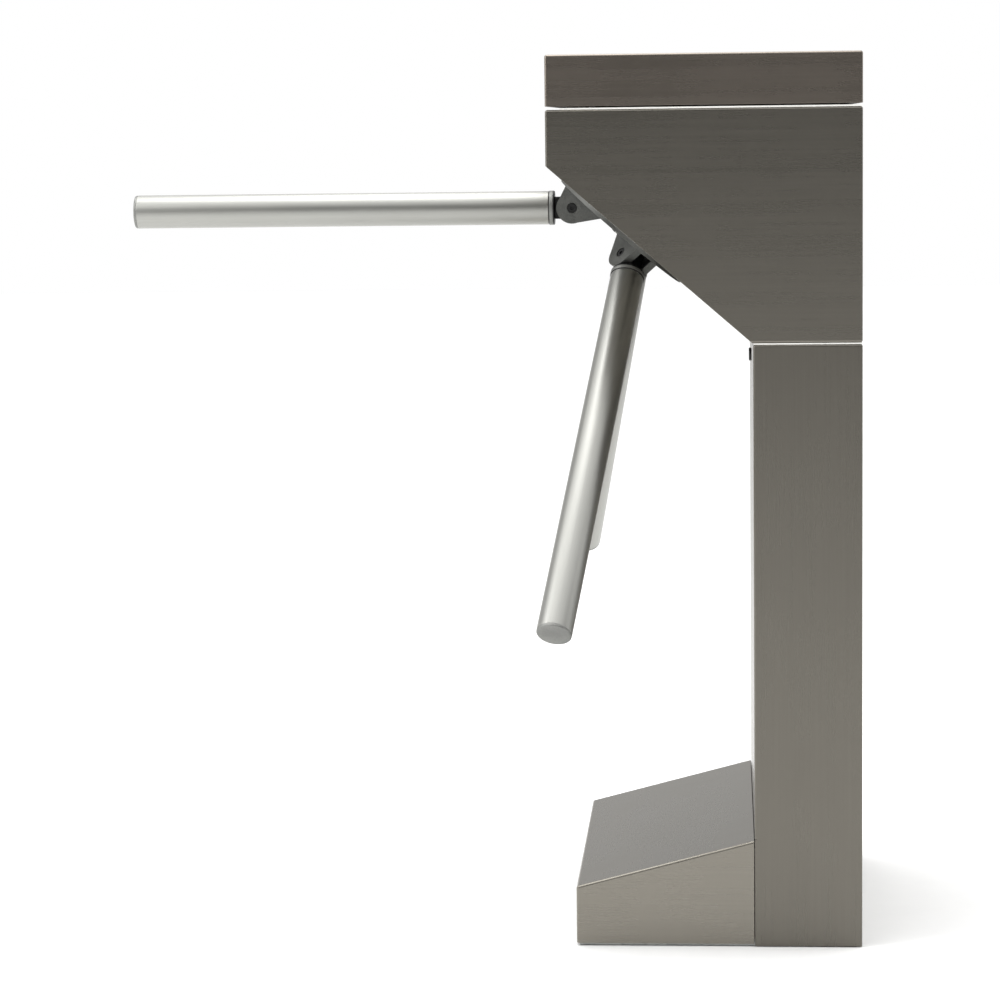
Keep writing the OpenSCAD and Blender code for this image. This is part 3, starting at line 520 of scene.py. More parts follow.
def refine(node, material, body, slot, edge):
    """Puts a copy of a frame node in its place, with merged faces and eased edges."""
    bm = bmesh.new()
    bm.from_mesh(frame["nodes"][node].data)
    bmesh.ops.remove_doubles(bm, verts=bm.verts, dist=MERGE)
    bmesh.ops.dissolve_limit(bm, angle_limit=math.radians(0.6), verts=bm.verts, edges=bm.edges)
    settle(ease_edges(own(node + "_finished", bm, material), edge, 30), body, slot, node)


def lathe(name, profile, material, m, facets, smooth=30):
    """A turned piece: a closed outline of radius and height, spun about local +Z."""
    bm = bmesh.new()
    rings = []
    for r, z in profile:
        if r < 1e-7:
            rings.append([bm.verts.new((0, 0, z))])
        else:
            rings.append([bm.verts.new((r * math.cos(a), r * math.sin(a), z))
                          for a in (2 * math.pi * k / facets for k in range(facets))])
    for low, high in zip(rings, rings[1:] + rings[:1]):
        if len(low) == 1 and len(high) == 1:
            continue
        for k in range(facets):
            n = (k + 1) % facets
            if len(low) == 1:
                bm.faces.new((low[0], high[n], high[k]))
            elif len(high) == 1:
                bm.faces.new((low[k], low[n], high[0]))
            else:
                bm.faces.new((low[k], low[n], high[n], high[k]))
    return own(name, bm, material, m, smooth)


def rounded(r, z, edge, start, steps=4):
    """Points of a quarter round of radius edge about (r, z), from an angle in quarter turns."""
    return [(r + edge * math.cos(a), z + edge * math.sin(a))
            for a in (math.pi / 2 * (start + k / steps) for k in range(steps + 1))]


def block(bm, low, high):
    """Adds a plain box to a bmesh and returns its vertices."""
    made = bmesh.ops.create_cube(bm, size=1)["verts"]
    for v in made:
        v.co = Vector([low[k] + (v.co[k] + 0.5) * (high[k] - low[k]) for k in range(3)])
    return made


def cut_round(obj, centre, axis, radius, depth):
    """Cuts a round hole through a piece."""
    bm = bmesh.new()
    turn = Vector((0, 0, 1)).rotation_difference(Vector(axis)).to_matrix().to_4x4()
    turn.translation = Vector(centre)
    bmesh.ops.create_cone(bm, cap_ends=True, segments=48, radius1=radius, radius2=radius,
                          depth=depth, matrix=turn)
    mesh = bpy.data.meshes.new("cutter")
    bm.to_mesh(mesh)
    bm.free()
    cutter = linked("cutter", mesh)
    cut = obj.modifiers.new("cut", "BOOLEAN")
    cut.object = cutter
    cut.operation = "DIFFERENCE"
    cut.solver = "EXACT"
    realise(obj)
    bpy.data.objects.remove(cutter)
    bpy.data.meshes.remove(mesh)
    return obj


# ---------------------------------------------------------------- geometry node trees

class Tree(Nodes):
    """One geometry node tree."""

    def __init__(self, name, **inputs):
        super().__init__(bpy.data.node_groups.new(name, "GeometryNodeTree"))
        self.tree.interface.new_socket("Geometry", in_out="OUTPUT", socket_type="NodeSocketGeometry")
        self.ids = {}
        for key, (kind, value) in inputs.items():
            s = self.tree.interface.new_socket(key, in_out="INPUT", socket_type=kind)
            self.ids[key] = s.identifier
            if value is not None:
                s.default_value = value
        self.start = self.node("NodeGroupInput")
        self.end = self.node("NodeGroupOutput")

    def feed(self, node, **pairs):
        """Joins inputs of the tree to sockets of a node, each as socket=input."""
        for socket, key in pairs.items():
            self.link(self.start.outputs[key], node.inputs[socket.replace("_", " ")])

    def finish(self, geometry, material):
        """Ends the tree: realised instances with one material."""
        real = self.node("GeometryNodeRealizeInstances")
        paint = self.node("GeometryNodeSetMaterial", Material=MATERIALS[material])
        self.link(geometry, real.inputs[0])
        self.link(real.outputs[0], paint.inputs[0])
        self.link(paint.outputs[0], self.end.inputs[0])

    def grow(self, name, m, **values):
        """Runs the tree on a new object and returns it as a plain mesh in the row frame."""
        obj = linked(name, bpy.data.meshes.new(name))
        mod = obj.modifiers.new("grow", "NODES")
        mod.node_group = self.tree
        for key, value in values.items():
            mod[self.ids[key]] = value
        bake(obj)
        obj.data.transform(m)
        shade(obj.data, SMOOTH_BELOW)
        return obj


FLOAT = "NodeSocketFloat"
INT = "NodeSocketInt"
COIL_WIRE = 0.8 * MM        # radius of a return spring's wire


def bolt_ring_tree(material):
    """Hex bolt heads on a circle, each a chamfered hexagon on a washer."""
    t = Tree("bolt_ring", Count=(INT, 4), Circle=(FLOAT, 0.046), Across=(FLOAT, 0.0065),
             Height=(FLOAT, 0.005), Washer=(FLOAT, 0.0078))
    circle = t.node("GeometryNodeMeshCircle")
    t.feed(circle, Vertices="Count", Radius="Circle")
    head = t.node("GeometryNodeMeshCone", Vertices=6)
    t.feed(head, Radius_Bottom="Across", Radius_Top="Across", Depth="Height")
    dome = t.node("GeometryNodeMeshCone", Vertices=24, Depth=0.0006)
    small = t.maths("MULTIPLY", t.start.outputs["Across"], 0.84)
    t.link(small, dome.inputs["Radius Bottom"])
    t.link(small, dome.inputs["Radius Top"])
    lift = t.node("GeometryNodeTransform")
    up = t.node("ShaderNodeCombineXYZ")
    t.feed(up, Z="Height")
    t.link(dome.outputs[0], lift.inputs["Geometry"])
    t.link(up.outputs[0], lift.inputs["Translation"])
    washer = t.node("GeometryNodeMeshCylinder", Vertices=32, Depth=0.0008)
    t.feed(washer, Radius="Washer")
    join = t.node("GeometryNodeJoinGeometry")
    for n in (head, lift, washer):
        t.link(n.outputs[0], join.inputs[0])
    place = t.node("GeometryNodeInstanceOnPoints")
    t.link(circle.outputs[0], place.inputs["Points"])
    t.link(join.outputs[0], place.inputs["Instance"])
    t.finish(place.outputs[0], material)
    return t


def coil_tree(material):
    """A round-wire coil spring along local +Z."""
    t = Tree("coil_spring", Turns=(FLOAT, 6.0), Radius=(FLOAT, 0.0066), Wire=(FLOAT, COIL_WIRE),
             Length=(FLOAT, 0.016))
    spiral = t.node("GeometryNodeCurveSpiral", Resolution=28)
    t.feed(spiral, Rotations="Turns", Start_Radius="Radius", End_Radius="Radius", Height="Length")
    wire = t.node("GeometryNodeCurvePrimitiveCircle", Resolution=10)
    t.feed(wire, Radius="Wire")
    body = t.node("GeometryNodeCurveToMesh")
    body.inputs["Fill Caps"].default_value = True
    t.link(spiral.outputs[0], body.inputs["Curve"])
    t.link(wire.outputs[0], body.inputs["Profile Curve"])
    t.finish(body.outputs[0], material)
    return t


def part_grid_tree(material):
    """Rows of small round board parts, with a fixed seed for their heights."""
    t = Tree("board_parts", Columns=(INT, 5), Rows=(INT, 3), Width=(FLOAT, 0.04), Depth=(FLOAT, 0.02),
             Radius=(FLOAT, 0.0028), Height=(FLOAT, 0.008))
    grid = t.node("GeometryNodeMeshGrid")
    t.feed(grid, Vertices_X="Columns", Vertices_Y="Rows", Size_X="Width", Size_Y="Depth")
    can = t.node("GeometryNodeMeshCylinder", Vertices=20)
    t.feed(can, Radius="Radius", Depth="Height")
    lift = t.node("GeometryNodeTransform")
    up = t.node("ShaderNodeCombineXYZ")
    t.link(t.maths("MULTIPLY", t.start.outputs["Height"], 0.5), up.inputs["Z"])
    t.link(can.outputs[0], lift.inputs["Geometry"])
    t.link(up.outputs[0], lift.inputs["Translation"])
    place = t.node("GeometryNodeInstanceOnPoints")
    size = t.node("FunctionNodeRandomValue", data_type="FLOAT_VECTOR")
    size.inputs[0].default_value = (1, 1, 0.55)
    size.inputs[1].default_value = (1, 1, 1)
    size.inputs["Seed"].default_value = 4
    t.link(grid.outputs[0], place.inputs["Points"])
    t.link(lift.outputs[0], place.inputs["Instance"])
    t.link(size.outputs[0], place.inputs["Scale"])
    t.finish(place.outputs[0], material)
    return t


# ---------------------------------------------------------------- pieces

def folded_box(low, high, radius, missing):
    """A thin box with folded edges. missing names the sides left out, such as "-Z"."""
    bm = bmesh.new()
    block(bm, low, high)
    away = {"-X": (0, -1), "+X": (0, 1), "-Y": (1, -1), "+Y": (1, 1), "-Z": (2, -1), "+Z": (2, 1)}
    bm.normal_update()
    gone = [f for f in bm.faces if any(f.normal[away[m][0]] * away[m][1] > 0.9 for m in missing)]
    bmesh.ops.delete(bm, geom=gone, context="FACES")
    fold_edges(bm, radius)
    return bm


def slice_at(bm, axis, places):
    """Cuts every face along planes across one axis."""
    normal = [0, 0, 0]
    normal[axis] = 1
    for p in places:
        point = [0, 0, 0]
        point[axis] = p
        bmesh.ops.bisect_plane(bm, geom=bm.verts[:] + bm.edges[:] + bm.faces[:], dist=MERGE,
                               plane_co=point, plane_no=normal)


def drop_faces(bm, test):
    """Deletes the faces whose middle passes a test."""
    gone = [f for f in bm.faces if test(f.calc_center_median(), f.normal)]
    bmesh.ops.delete(bm, geom=gone, context="FACES")


def seal(name, low, high, z0, z1, start_x):
    """A thin three-sided strip of pale foam between two covers, set back from their faces. Its pale colour
    is also a painted highlight: it stands in for the bright line along the seam.
    """
    back, width = 0.7 * MM, 7 * MM
    bm = bmesh.new()
    y0, y1, x1 = low.y + back, high.y - back, high.x - back
    outer = [(start_x, y0), (x1, y0), (x1, y1), (start_x, y1)]
    inner = [(start_x, y1 - width), (x1 - width, y1 - width),
             (x1 - width, y0 + width), (start_x, y0 + width)]
    lower = [bm.verts.new((x, y, z0)) for x, y in outer + inner]
    bm.faces.new(lower)
    for v in raised(bmesh.ops.extrude_face_region(bm, geom=bm.faces[:])):
        v.co.z = z1
    return own(name, bm, "foam_pale")


class TurnstileLid(bpy.types.Operator):
    """Folded steel lid with welded corners and a hole for its lock"""
    bl_idname = "turnstile.lid"
    bl_label = "Lid"

    def execute(self, context):
        s = context.scene.turnstile_shell
        low, high = corners("lid")
        bm = folded_box(low, high, s.bend_radius, ("-Z",))
        reach = s.bend_radius * 1.15
        notch = 1.6 * MM
        for v in bm.verts:
            near_x = min(v.co.x - low.x, high.x - v.co.x) < reach
            near_y = min(v.co.y - low.y, high.y - v.co.y) < reach
            if v.co.z < low.z + MM and near_x and near_y:
                v.co.z += notch
        lid = shell_piece("lid_cover", bm, "steel_lid", s.sheet)
        mid = middle("lid_lock_body")
        cut_round(lid, (high.x, mid.y, mid.z), ALONG_X, radius=8 * MM, depth=12 * MM)
        settle(lid, "lid", SHELL, "lid")
        return {"FINISHED"}


class TurnstileHead(bpy.types.Operator):
    """Head shell with folded edges and the slanted plate that carries the hub"""
    bl_idname = "turnstile.head"
    bl_label = "Head"

    def execute(self, context):
        s = context.scene.turnstile_shell
        low, high = corners("head_shell")
        spin = joint("hub_spin")
        hub = Vector(spin["pos_m"])
        rise = spin["axis"][0] / spin["axis"][2]
        top_z = hub.z + (hub.x - low.x) * rise
        foot_x = hub.x - (low.z - hub.z) / rise
        outline = [(low.x, high.z), (low.x, top_z), (foot_x, low.z), (high.x, low.z), (high.x, high.z)]
        bm = bmesh.new()
        slope = prism(bm, outline, low.y, high.y)[1]
        slanted = set(slope.edges)
        bmesh.ops.delete(bm, geom=[slope], context="FACES_ONLY")
        fold_edges(bm, s.bend_radius, slanted)
        rim = s.flange + s.sheet
        foot_open = foot_x + 30 * MM
        slice_at(bm, 0, (low.x + rim, high.x - rim, foot_open))
        slice_at(bm, 1, (low.y + rim, high.y - rim))
        bm.normal_update()
        inside_y = lambda c: low.y + rim < c.y < high.y - rim
        drop_faces(bm, lambda c, n: abs(n.z) > LEVEL and c.z > high.z - MM and inside_y(c)
                   and low.x + rim < c.x < high.x - rim)
        drop_faces(bm, lambda c, n: abs(n.z) > LEVEL and c.z < low.z + MM
                   and ((inside_y(c) and c.x < high.x - rim) or c.x < foot_open))
        settle(shell_piece("head_cover", bm, "steel_level", s.sheet), "root", SHELL, "head_shell")

        # Pale seals under the lid and above the column: foam strips whose pale colour paints the bright
        # highlight line of each seam.
        lid_gap, lid_swing = 0.15 * MM, 16 * MM
        settle(seal("lid_seal", low, high, high.z, corners("lid")[0].z - lid_gap, low.x + lid_swing),
               "root", SHELL)
        column_low, column_high = corners("column_shell")
        settle(seal("column_seal", column_low, column_high, column_high.z, low.z, column_low.x + 0.6 * MM),
               "root", SHELL)

        plate_low, plate_high = corners("face_plate")
        m = hub_frame()
        length_up = (hub.x - low.x) / m.col[0].xyz.dot(Vector((-1, 0, 0)))
        length_down = (hub.z - low.z) / m.col[0].xyz.z
        edge_in = 1.4 * MM
        side_gap = 0.3 * MM
        bm = folded_box((-length_down + edge_in, plate_low.y + side_gap, -s.flange),
                        (length_up - s.sheet - edge_in, plate_high.y - side_gap, 0),
                        s.bend_radius, ("-Z", "-X", "+X"))
        bm.transform(m)
        plate = shell_piece("slanted_plate", bm, "steel_level", s.sheet)
        cut_round(plate, hub, spin["axis"], radius=36 * MM, depth=20 * MM)
        settle(plate, "root", SHELL, "face_plate")
        return {"FINISHED"}


class TurnstileColumn(bpy.types.Operator):
    """Column shell and the service panel that closes it"""
    bl_idname = "turnstile.column"
    bl_label = "Column and service panel"

    def execute(self, context):
        s = context.scene.turnstile_shell
        low, high = corners("column_shell")
        cover_top = corners("base_cover")[1].z
        rim = s.flange + s.sheet
        notch_top = cover_top + 2 * MM
        notch_x = low.x + 22 * MM
        skin = 0.1 * MM
        bm = folded_box(low, high, s.bend_radius, ("-Z",))
        slice_at(bm, 2, (notch_top,))
        slice_at(bm, 1, (low.y + rim, high.y - rim))
        slice_at(bm, 0, (notch_x, high.x - rim))
        bm.normal_update()
        inside_y = lambda c: low.y + rim < c.y < high.y - rim
        drop_faces(bm, lambda c, n: c.x < low.x + s.bend_radius - skin and (inside_y(c) or c.z < notch_top))
        drop_faces(bm, lambda c, n: n.z > LEVEL and c.z > high.z - MM
                   and ((inside_y(c) and c.x < high.x - rim) or c.x < notch_x))
        turn_x = low.x + s.bend_radius
        cut = [e for e in bm.edges if e.is_boundary
               and all(abs(v.co.x - turn_x) < skin / 2 and v.co.z < notch_top + skin for v in e.verts)]
        for v in raised(bmesh.ops.extrude_edge_only(bm, edges=cut)):
            v.co.x -= s.bend_radius - 0.2 * MM
        settle(shell_piece("column_cover", bm, "steel_upright", s.sheet), "root", SHELL, "column_shell")

        low, high = corners("service_panel")
        bm = folded_box(low, high, s.bend_radius, ("+X", "-Z"))
        hinge_top = low.z + 20 * MM
        slice_at(bm, 2, (hinge_top,))
        drop_faces(bm, lambda c, n: c.z < hinge_top and c.x > low.x + s.bend_radius - skin)
        panel = shell_piece("service_door", bm, "steel_upright", s.sheet)
        mid = middle("panel_lock_body")
        cut_round(panel, (low.x, mid.y, mid.z), ALONG_X, radius=6 * MM, depth=8 * MM)
        settle(panel, "service_panel", SHELL, "service_panel")
        return {"FINISHED"}


class TurnstileBase(bpy.types.Operator):
    """Sloped base cover, its screws and the plate under it"""
    bl_idname = "turnstile.base"
    bl_label = "Base"

    def execute(self, context):
        s = context.scene.turnstile_shell
        low, high = corners("base_cover")
        mesh = frame["nodes"]["base_cover"].data
        low_top = max(v.co.z for v in mesh.vertices if v.co.x < low.x + 0.1 * MM)
        outline = [(low.x, low.z), (high.x, low.z), (high.x, high.z), (low.x, low_top)]
        bm = bmesh.new()
        floor, back = prism(bm, outline, low.y, high.y)[:2]
        bmesh.ops.delete(bm, geom=[floor, back], context="FACES")
        fold_edges(bm, s.bend_radius)
        cover = shell_piece("sloped_cover", bm, "steel_base", s.sheet)
        screw_low, screw_high = corners("base_cover_screws")
        screw_head = 4.7 * MM
        for y in (screw_low.y + screw_head, screw_high.y - screw_head):
            cut_round(cover, (low.x, y, middle("base_cover_screws").z), ALONG_X,
                      radius=2.7 * MM, depth=10 * MM)
        settle(cover, "root", SHELL, "base_cover")
        refine("base_plate", "zinc", "root", "zinc_steel", 0.8 * MM)
        refine("base_cover_screws", "machined", "root", "machined_steel", 0.35 * MM)
        return {"FINISHED"}


class TurnstileHub(bpy.types.Operator):
    """Three-lug hub casting with its bolt and pins"""
    bl_idname = "turnstile.hub"
    bl_label = "Hub"

    def execute(self, context):
        refine("hub", "cast_grey", "hub", "cast_grey", 0.9 * MM)
        refine("hub_bolt", "machined", "hub", "machined_steel", 0.6 * MM)
        refine("clevis_pins", "pin_black", "hub", "knuckle_dark", 0.3 * MM)
        return {"FINISHED"}


class TurnstileArms(bpy.types.Operator):
    """The three folding arms: knuckle, tube and end cap"""
    bl_idname = "turnstile.arms"
    bl_label = "Arms"

    def execute(self, context):
        a = context.scene.turnstile_arms
        for i in (1, 2, 3):
            body = f"arm_{i}"
            m = arm_frame(i)
            refine(body + "_knuckle", "blackened", body, "knuckle_dark", 0.8 * MM)
            low, high, r = local_extent(body + "_tube", m)
            inner = min(math.hypot(p.x, p.y) for p in
                        (m.inverted() @ v.co for v in frame["nodes"][body + "_tube"].data.vertices))
            e = a.edge
            profile = (rounded(r - e, low.z + e, e, 3) + rounded(r - e, high.z - e, e, 0)
                       + [(inner, high.z), (inner, low.z)])
            tube = lathe(body + "_pipe", profile, "arm_steel", m, a.facets)
            settle(tube, body, "arm_steel", body + "_tube")
            sleeve = local_extent(body + "_knuckle", m)[2] + 0.05 * MM
            foot, top, wall, e = low.z - 4.6 * MM, low.z - 1.1 * MM, 1.5 * MM, 0.5 * MM
            profile = (rounded(sleeve - e, foot, e, 3) + rounded(sleeve - e, top, e, 0)
                       + [(sleeve - wall, top), (sleeve - wall, foot)])
            settle(lathe(body + "_collar", profile, "cap_grey", m, a.facets), body, "cast_grey")
            low, high, r = local_extent(body + "_cap", m)
            plug = inner - 0.05 * MM
            lip = high.z - 3 * MM
            dish = 0.5 * MM
            e = 1.6 * MM
            profile = ([(0, low.z + MM), (plug - MM, low.z + MM), (plug, low.z + 2 * MM)]
                       + [(plug, lip), (r, lip)]
                       + rounded(r - e, high.z - e, e, 0, 6)
                       + [(r * 0.55, high.z - dish * 0.4), (r * 0.5, high.z - dish), (0, high.z - dish)])
            cap = lathe(body + "_plug", profile, "cap_grey", m, a.facets)
            settle(cap, body, "cast_grey", body + "_cap")
        return {"FINISHED"}


class TurnstileLocks(bpy.types.Operator):
    """Cam locks of the lid and the service panel"""
    bl_idname = "turnstile.locks"
    bl_label = "Locks"

    def execute(self, context):
        refine("lid_lock_body", "lock_chrome", "lid", "lock_chrome", 0.7 * MM)
        refine("lid_lock_plug", "core_nickel", "lid_key", "lock_core", 0.25 * MM)
        refine("panel_lock_body", "lock_dark", "service_panel", "lock_chrome", 0.7 * MM)
        refine("panel_lock_plug", "core_nickel", "panel_key", "lock_core", 0.25 * MM)
        return {"FINISHED"}


class TurnstileFrame(bpy.types.Operator):
    """Zinc-plated frame, brackets and hinges behind the covers"""
    bl_idname = "turnstile.frame"
    bl_label = "Inner frame"

    def execute(self, context):
        for node in ("column_frame", "chassis_brackets", "chassis_plate", "rear_plate", "pawl_posts",
                     "lid_hinge_brackets", "lid_catch", "panel_hinge_brackets"):
            refine(node, "zinc", "root", "zinc_steel", SHEET_EDGE)
        refine("lid_hinge_leaves", "zinc", "lid", "zinc_steel", SHEET_EDGE)
        refine("panel_hinge_leaves", "zinc", "service_panel", "zinc_steel", SHEET_EDGE)
        return {"FINISHED"}


class TurnstileBearing(bpy.types.Operator):
    """Bearing housing, its bolts, the ball bearings and the main shaft"""
    bl_idname = "turnstile.bearing"
    bl_label = "Bearing and shaft"

    def execute(self, context):
        m = hub_frame()
        refine("bearing_housing", "housing_grey", "root", "cast_grey", 0.8 * MM)
        refine("bearings", "machined", "root", "machined_steel", 0.4 * MM)
        refine("main_shaft", "machined", "hub", "machined_steel", 0.8 * MM)
        seat = local_extent("housing_bolts", m)[0].z + 2.5 * MM
        head = Matrix.Translation((0, 0, seat)) @ Matrix.Rotation(math.radians(180), 4, "X")
        turn = Matrix.Rotation(math.radians(45), 4, "Z")
        bolts = bolt_ring_tree("machined").grow("housing_screws", m @ turn @ head)
        settle(bolts, "root", "machined_steel", "housing_bolts")
        return {"FINISHED"}


class TurnstileMechanism(bpy.types.Operator):
    """Lock wheel, pawls, solenoids, gears, damper, detent and encoder"""
    bl_idname = "turnstile.mechanism"
    bl_label = "Mechanism"

    def execute(self, context):
        edge = 0.3 * MM
        refine("lock_wheel", "cast_grey", "hub", "cast_grey", edge)
        refine("detent_cam", "cast_grey", "hub", "cast_grey", edge)
        refine("main_gear", "machined", "hub", "machined_steel", edge)
        refine("encoder_disc", "black_plastic", "hub", "black_plastic", edge)
        for node in ("entry_pawl", "exit_pawl", "entry_plunger", "exit_plunger",
                     "damper_pinion", "counter_pinion"):
            refine(node, "machined", node, "machined_steel", edge)
        for node in ("solenoids", "damper_body", "encoder_sensors"):
            refine(node, "black_plastic", "root", "black_plastic", edge)
        refine("detent_spring", "spring_steel", "root", "spring_steel", edge)
        wire = coil_tree("spring_steel")
        for name in ("entry", "exit"):
            low, high = corners(name + "_spring")
            mid = middle(name + "_spring")
            length = high.y - low.y
            radius = (high.z - low.z) / 2 - COIL_WIRE
            turn = Matrix.Rotation(math.radians(-90), 4, "X")
            place = Matrix.Translation((mid.x, low.y + COIL_WIRE, mid.z)) @ turn
            spring = wire.grow(name + "_coil", place, Length=length - 2 * COIL_WIRE, Radius=radius)
            settle(spring, "root", "spring_steel", name + "_spring")
            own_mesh(spring)
        return {"FINISHED"}


class TurnstileCounter(bpy.types.Operator):
    """Visitor counter with three number wheels"""
    bl_idname = "turnstile.counter"
    bl_label = "Counter"

    def execute(self, context):
        refine("counter_body", "black_plastic", "root", "black_plastic", 0.5 * MM)
        for name in ("units", "tens", "hundreds"):
            node = f"counter_{name}_wheel"
            axis = Vector(joint(name + "_spin")["axis"]).normalized()
            centre = Vector(joint(name + "_spin")["pos_m"])
            up = Vector((0, 1, 0)).cross(axis)
            m = Matrix((up, (0, 1, 0), axis)).transposed().to_4x4()
            m.translation = centre
            low, high, r = local_extent(node, m)
            bore = 2.05 * MM
            face = r - 0.3 * MM
            e = 0.4 * MM
            profile = (rounded(face - e, low.z + e, e, 3) + rounded(face - e, high.z - e, e, 0)
                       + [(bore, high.z), (bore, low.z)])
            drum = lathe(f"{name}_drum", profile, "white_plastic", m, 60)
            settle(drum, f"counter_{name}", "wheel_white", node)
            ink = number_band(f"{name}_digits", face + 0.02 * MM, (low.z + high.z) / 2, m)
            settle(ink, f"counter_{name}", "wheel_white")
        return {"FINISHED"}


def number_band(name, radius, z, m):
    """Ten thin digits round a drum."""
    bm = bmesh.new()
    for k in range(10):
        curve = bpy.data.curves.new("digit", "FONT")
        curve.body = str(k)
        curve.size = 5.2 * MM
        curve.align_x = "CENTER"
        curve.align_y = "CENTER"
        curve.resolution_u = 3
        obj = linked("digit", curve)
        mesh = result(obj)
        bpy.data.objects.remove(obj)
        bpy.data.curves.remove(curve)
        part = bmesh.new()
        part.from_mesh(mesh)
        bpy.data.meshes.remove(mesh)
        bmesh.ops.triangulate(part, faces=part.faces)
        for v in raised(bmesh.ops.extrude_face_region(part, geom=part.faces[:])):
            v.co.z += 0.2 * MM
        for v in part.verts:
            a = 2 * math.pi * k / 10 + v.co.y / radius
            r = radius + v.co.z
            v.co = (r * math.cos(a), r * math.sin(a), z - v.co.x)
        spare = bpy.data.meshes.new("digit")
        part.to_mesh(spare)
        part.free()
        bm.from_mesh(spare)
        bpy.data.meshes.remove(spare)
    return own(name, bm, "digit_ink", m)


class TurnstileElectrics(bpy.types.Operator):
    """Control board with its parts and the power supply"""
    bl_idname = "turnstile.electrics"
    bl_label = "Electrics"

    def execute(self, context):
        refine("control_board", "board_green", "root", "board_green", 0.3 * MM)
        refine("power_supply", "zinc", "root", "zinc_steel", 0.6 * MM)
        low, high = corners("control_board")
        face = Matrix.Rotation(math.radians(-90), 4, "Y")
        board_x = high.x - 12 * MM
        pitch_across, pitch_down = 9.6 * MM, 11 * MM
        for k, (y, z, radius, height, columns, rows, material) in enumerate((
                (0.032, 0.115, 0.0034, 0.011, 4, 2, "blue_part"),
                (-0.03, 0.1, 0.0026, 0.006, 5, 3, "amber_part"))):
            place = Matrix.Translation((board_x, y, low.z + z)) @ face
            parts = part_grid_tree(material).grow(
                f"board_parts_{k + 1}", place, Columns=columns, Rows=rows, Radius=radius, Height=height,
                Width=pitch_across * columns, Depth=pitch_down * rows)
            settle(parts, "root", "board_green")
        return {"FINISHED"}


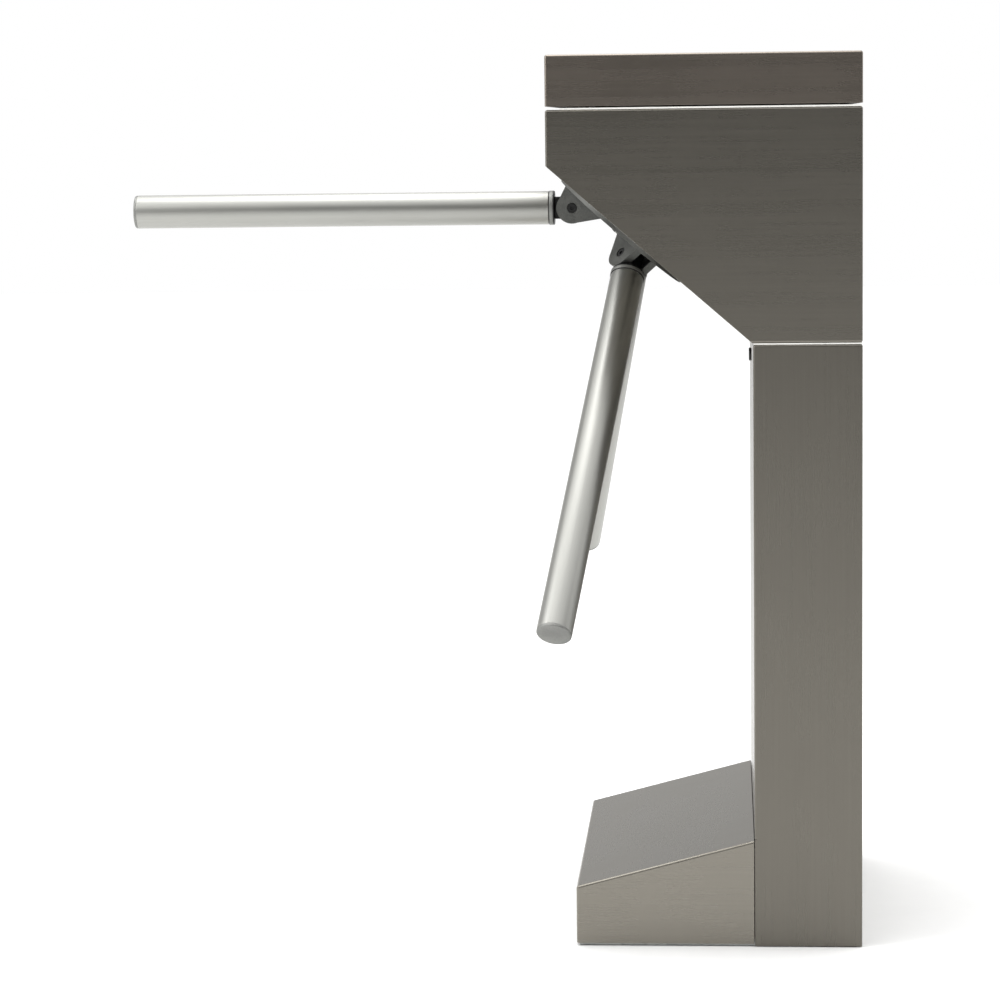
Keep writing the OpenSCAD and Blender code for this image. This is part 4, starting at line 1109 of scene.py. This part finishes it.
class TurnstileStudio(bpy.types.Operator):
    """Pale floor, soft studio light and the camera"""
    bl_idname = "turnstile.studio"
    bl_label = "Studio"

    def execute(self, context):
        s = context.scene.turnstile_stage
        bm = bmesh.new()
        half, thick = 14, 0.02
        block(bm, (-half, -half, -thick), (half, half, 0))
        floor = own("floor", bm, "floor_white")

        world = context.scene.world or bpy.data.worlds.new("studio")
        context.scene.world = world
        world.use_nodes = True
        world.node_tree.nodes.clear()
        sky = Nodes(world.node_tree)
        direction = sky.node("ShaderNodeTexCoord").outputs["Generated"]
        split = sky.node("ShaderNodeSeparateXYZ")
        sky.link(direction, split.inputs[0])
        x, y, z = split.outputs

        def ramp(value, start, end, low, high):
            n = sky.node("ShaderNodeMapRange", interpolation_type="SMOOTHSTEP",
                         From_Min=start, From_Max=end, To_Min=low, To_Max=high)
            sky.link(value, n.inputs["Value"])
            return n.outputs[0]

        turned = sky.maths("SUBTRACT", sky.maths("MULTIPLY", y, 0.95), sky.maths("MULTIPLY", x, 0.31))
        room = ramp(turned, -0.72, 0.15, 0.17, 1.0)
        dim = ramp(z, 0.06, 0.24, 1.0, 0.5)
        ceiling = ramp(z, 0.3, 0.75, 0.0, 1.4)
        level = sky.maths("ADD", sky.maths("MULTIPLY", room, dim), ceiling)
        tint = sky.node("ShaderNodeCombineColor")
        glow = sky.node("ShaderNodeBackground")
        out = sky.node("ShaderNodeOutputWorld")
        for channel in tint.inputs:
            sky.link(level, channel)
        sky.link(tint.outputs[0], glow.inputs["Color"])
        sky.link(glow.outputs[0], out.inputs["Surface"])

        lamps = (("softbox_top", (-0.5, 0.3, 3.4), (0, 0, 0.5), 2.2, 1.8, 45),
                 ("softbox_left", (-3.0, -1.5, 2.0), (0, 0, 0.6), 1.8, 1.8, 50),
                 ("softbox_right", (3.0, 0.8, 2.0), (0, 0, 0.6), 1.6, 1.6, 20))
        for name, place, aim, width, height, power in lamps:
            light = bpy.data.lights.new(name, "AREA")
            light.shape = "RECTANGLE"
            light.size = width
            light.size_y = height
            light.energy = power
            lamp = linked(name, light)
            lamp.location = place
            lamp.rotation_euler = (Vector(aim) - Vector(place)).to_track_quat("-Z", "Y").to_euler()

        data = bpy.data.cameras.new("camera")
        data.lens = s.lens
        data.sensor_width = 36
        data.clip_end = 60
        camera = linked("camera", data)
        flat = math.cos(s.pitch)
        ahead = Vector((math.sin(s.yaw) * flat, math.cos(s.yaw) * flat, math.sin(s.pitch)))
        across = Vector((math.cos(s.yaw), -math.sin(s.yaw), 0))
        up = across.cross(ahead)
        right = math.cos(s.roll) * across + math.sin(s.roll) * up
        above = -math.sin(s.roll) * across + math.cos(s.roll) * up
        camera.matrix_world = Matrix((right, above, -ahead)).transposed().to_4x4()
        camera.location = s.camera_place
        context.scene.camera = camera
        context.scene.view_settings.view_transform = "Standard"
        return {"FINISHED"}


class TURNSTILE_PT_panel(bpy.types.Panel):
    """Lists the groups of pieces"""
    bl_label = "Turnstile"
    bl_space_type = "VIEW_3D"
    bl_region_type = "UI"
    bl_category = "Turnstile"

    def draw(self, context):
        for group in ("turnstile_shell", "turnstile_arms", "turnstile_stage"):
            box = self.layout.box()
            settings = getattr(context.scene, group)
            for key in settings.__annotations__:
                box.prop(settings, key)
        for operator in OPERATORS:
            self.layout.operator(operator.bl_idname)


OPERATORS = (TurnstileLid, TurnstileHead, TurnstileColumn, TurnstileBase, TurnstileHub, TurnstileArms,
             TurnstileLocks, TurnstileFrame, TurnstileBearing, TurnstileMechanism, TurnstileCounter,
             TurnstileElectrics, TurnstileStudio)
SETTINGS = (("turnstile_shell", TurnstileShellSettings), ("turnstile_arms", TurnstileArmSettings),
            ("turnstile_stage", TurnstileStageSettings))
CLASSES = tuple(kind for _, kind in SETTINGS) + OPERATORS + (TURNSTILE_PT_panel,)


def register():
    for kind in CLASSES:
        bpy.utils.register_class(kind)
    for name, kind in SETTINGS:
        setattr(bpy.types.Scene, name, PointerProperty(type=kind))


def unregister():
    for name, kind in SETTINGS:
        delattr(bpy.types.Scene, name)
    for kind in reversed(CLASSES):
        bpy.utils.unregister_class(kind)


def main():
    register()
    make_materials()
    for operator in OPERATORS:
        group, name = operator.bl_idname.split(".")
        getattr(getattr(bpy.ops, group), name)()


if __name__ == "__main__":
    main()
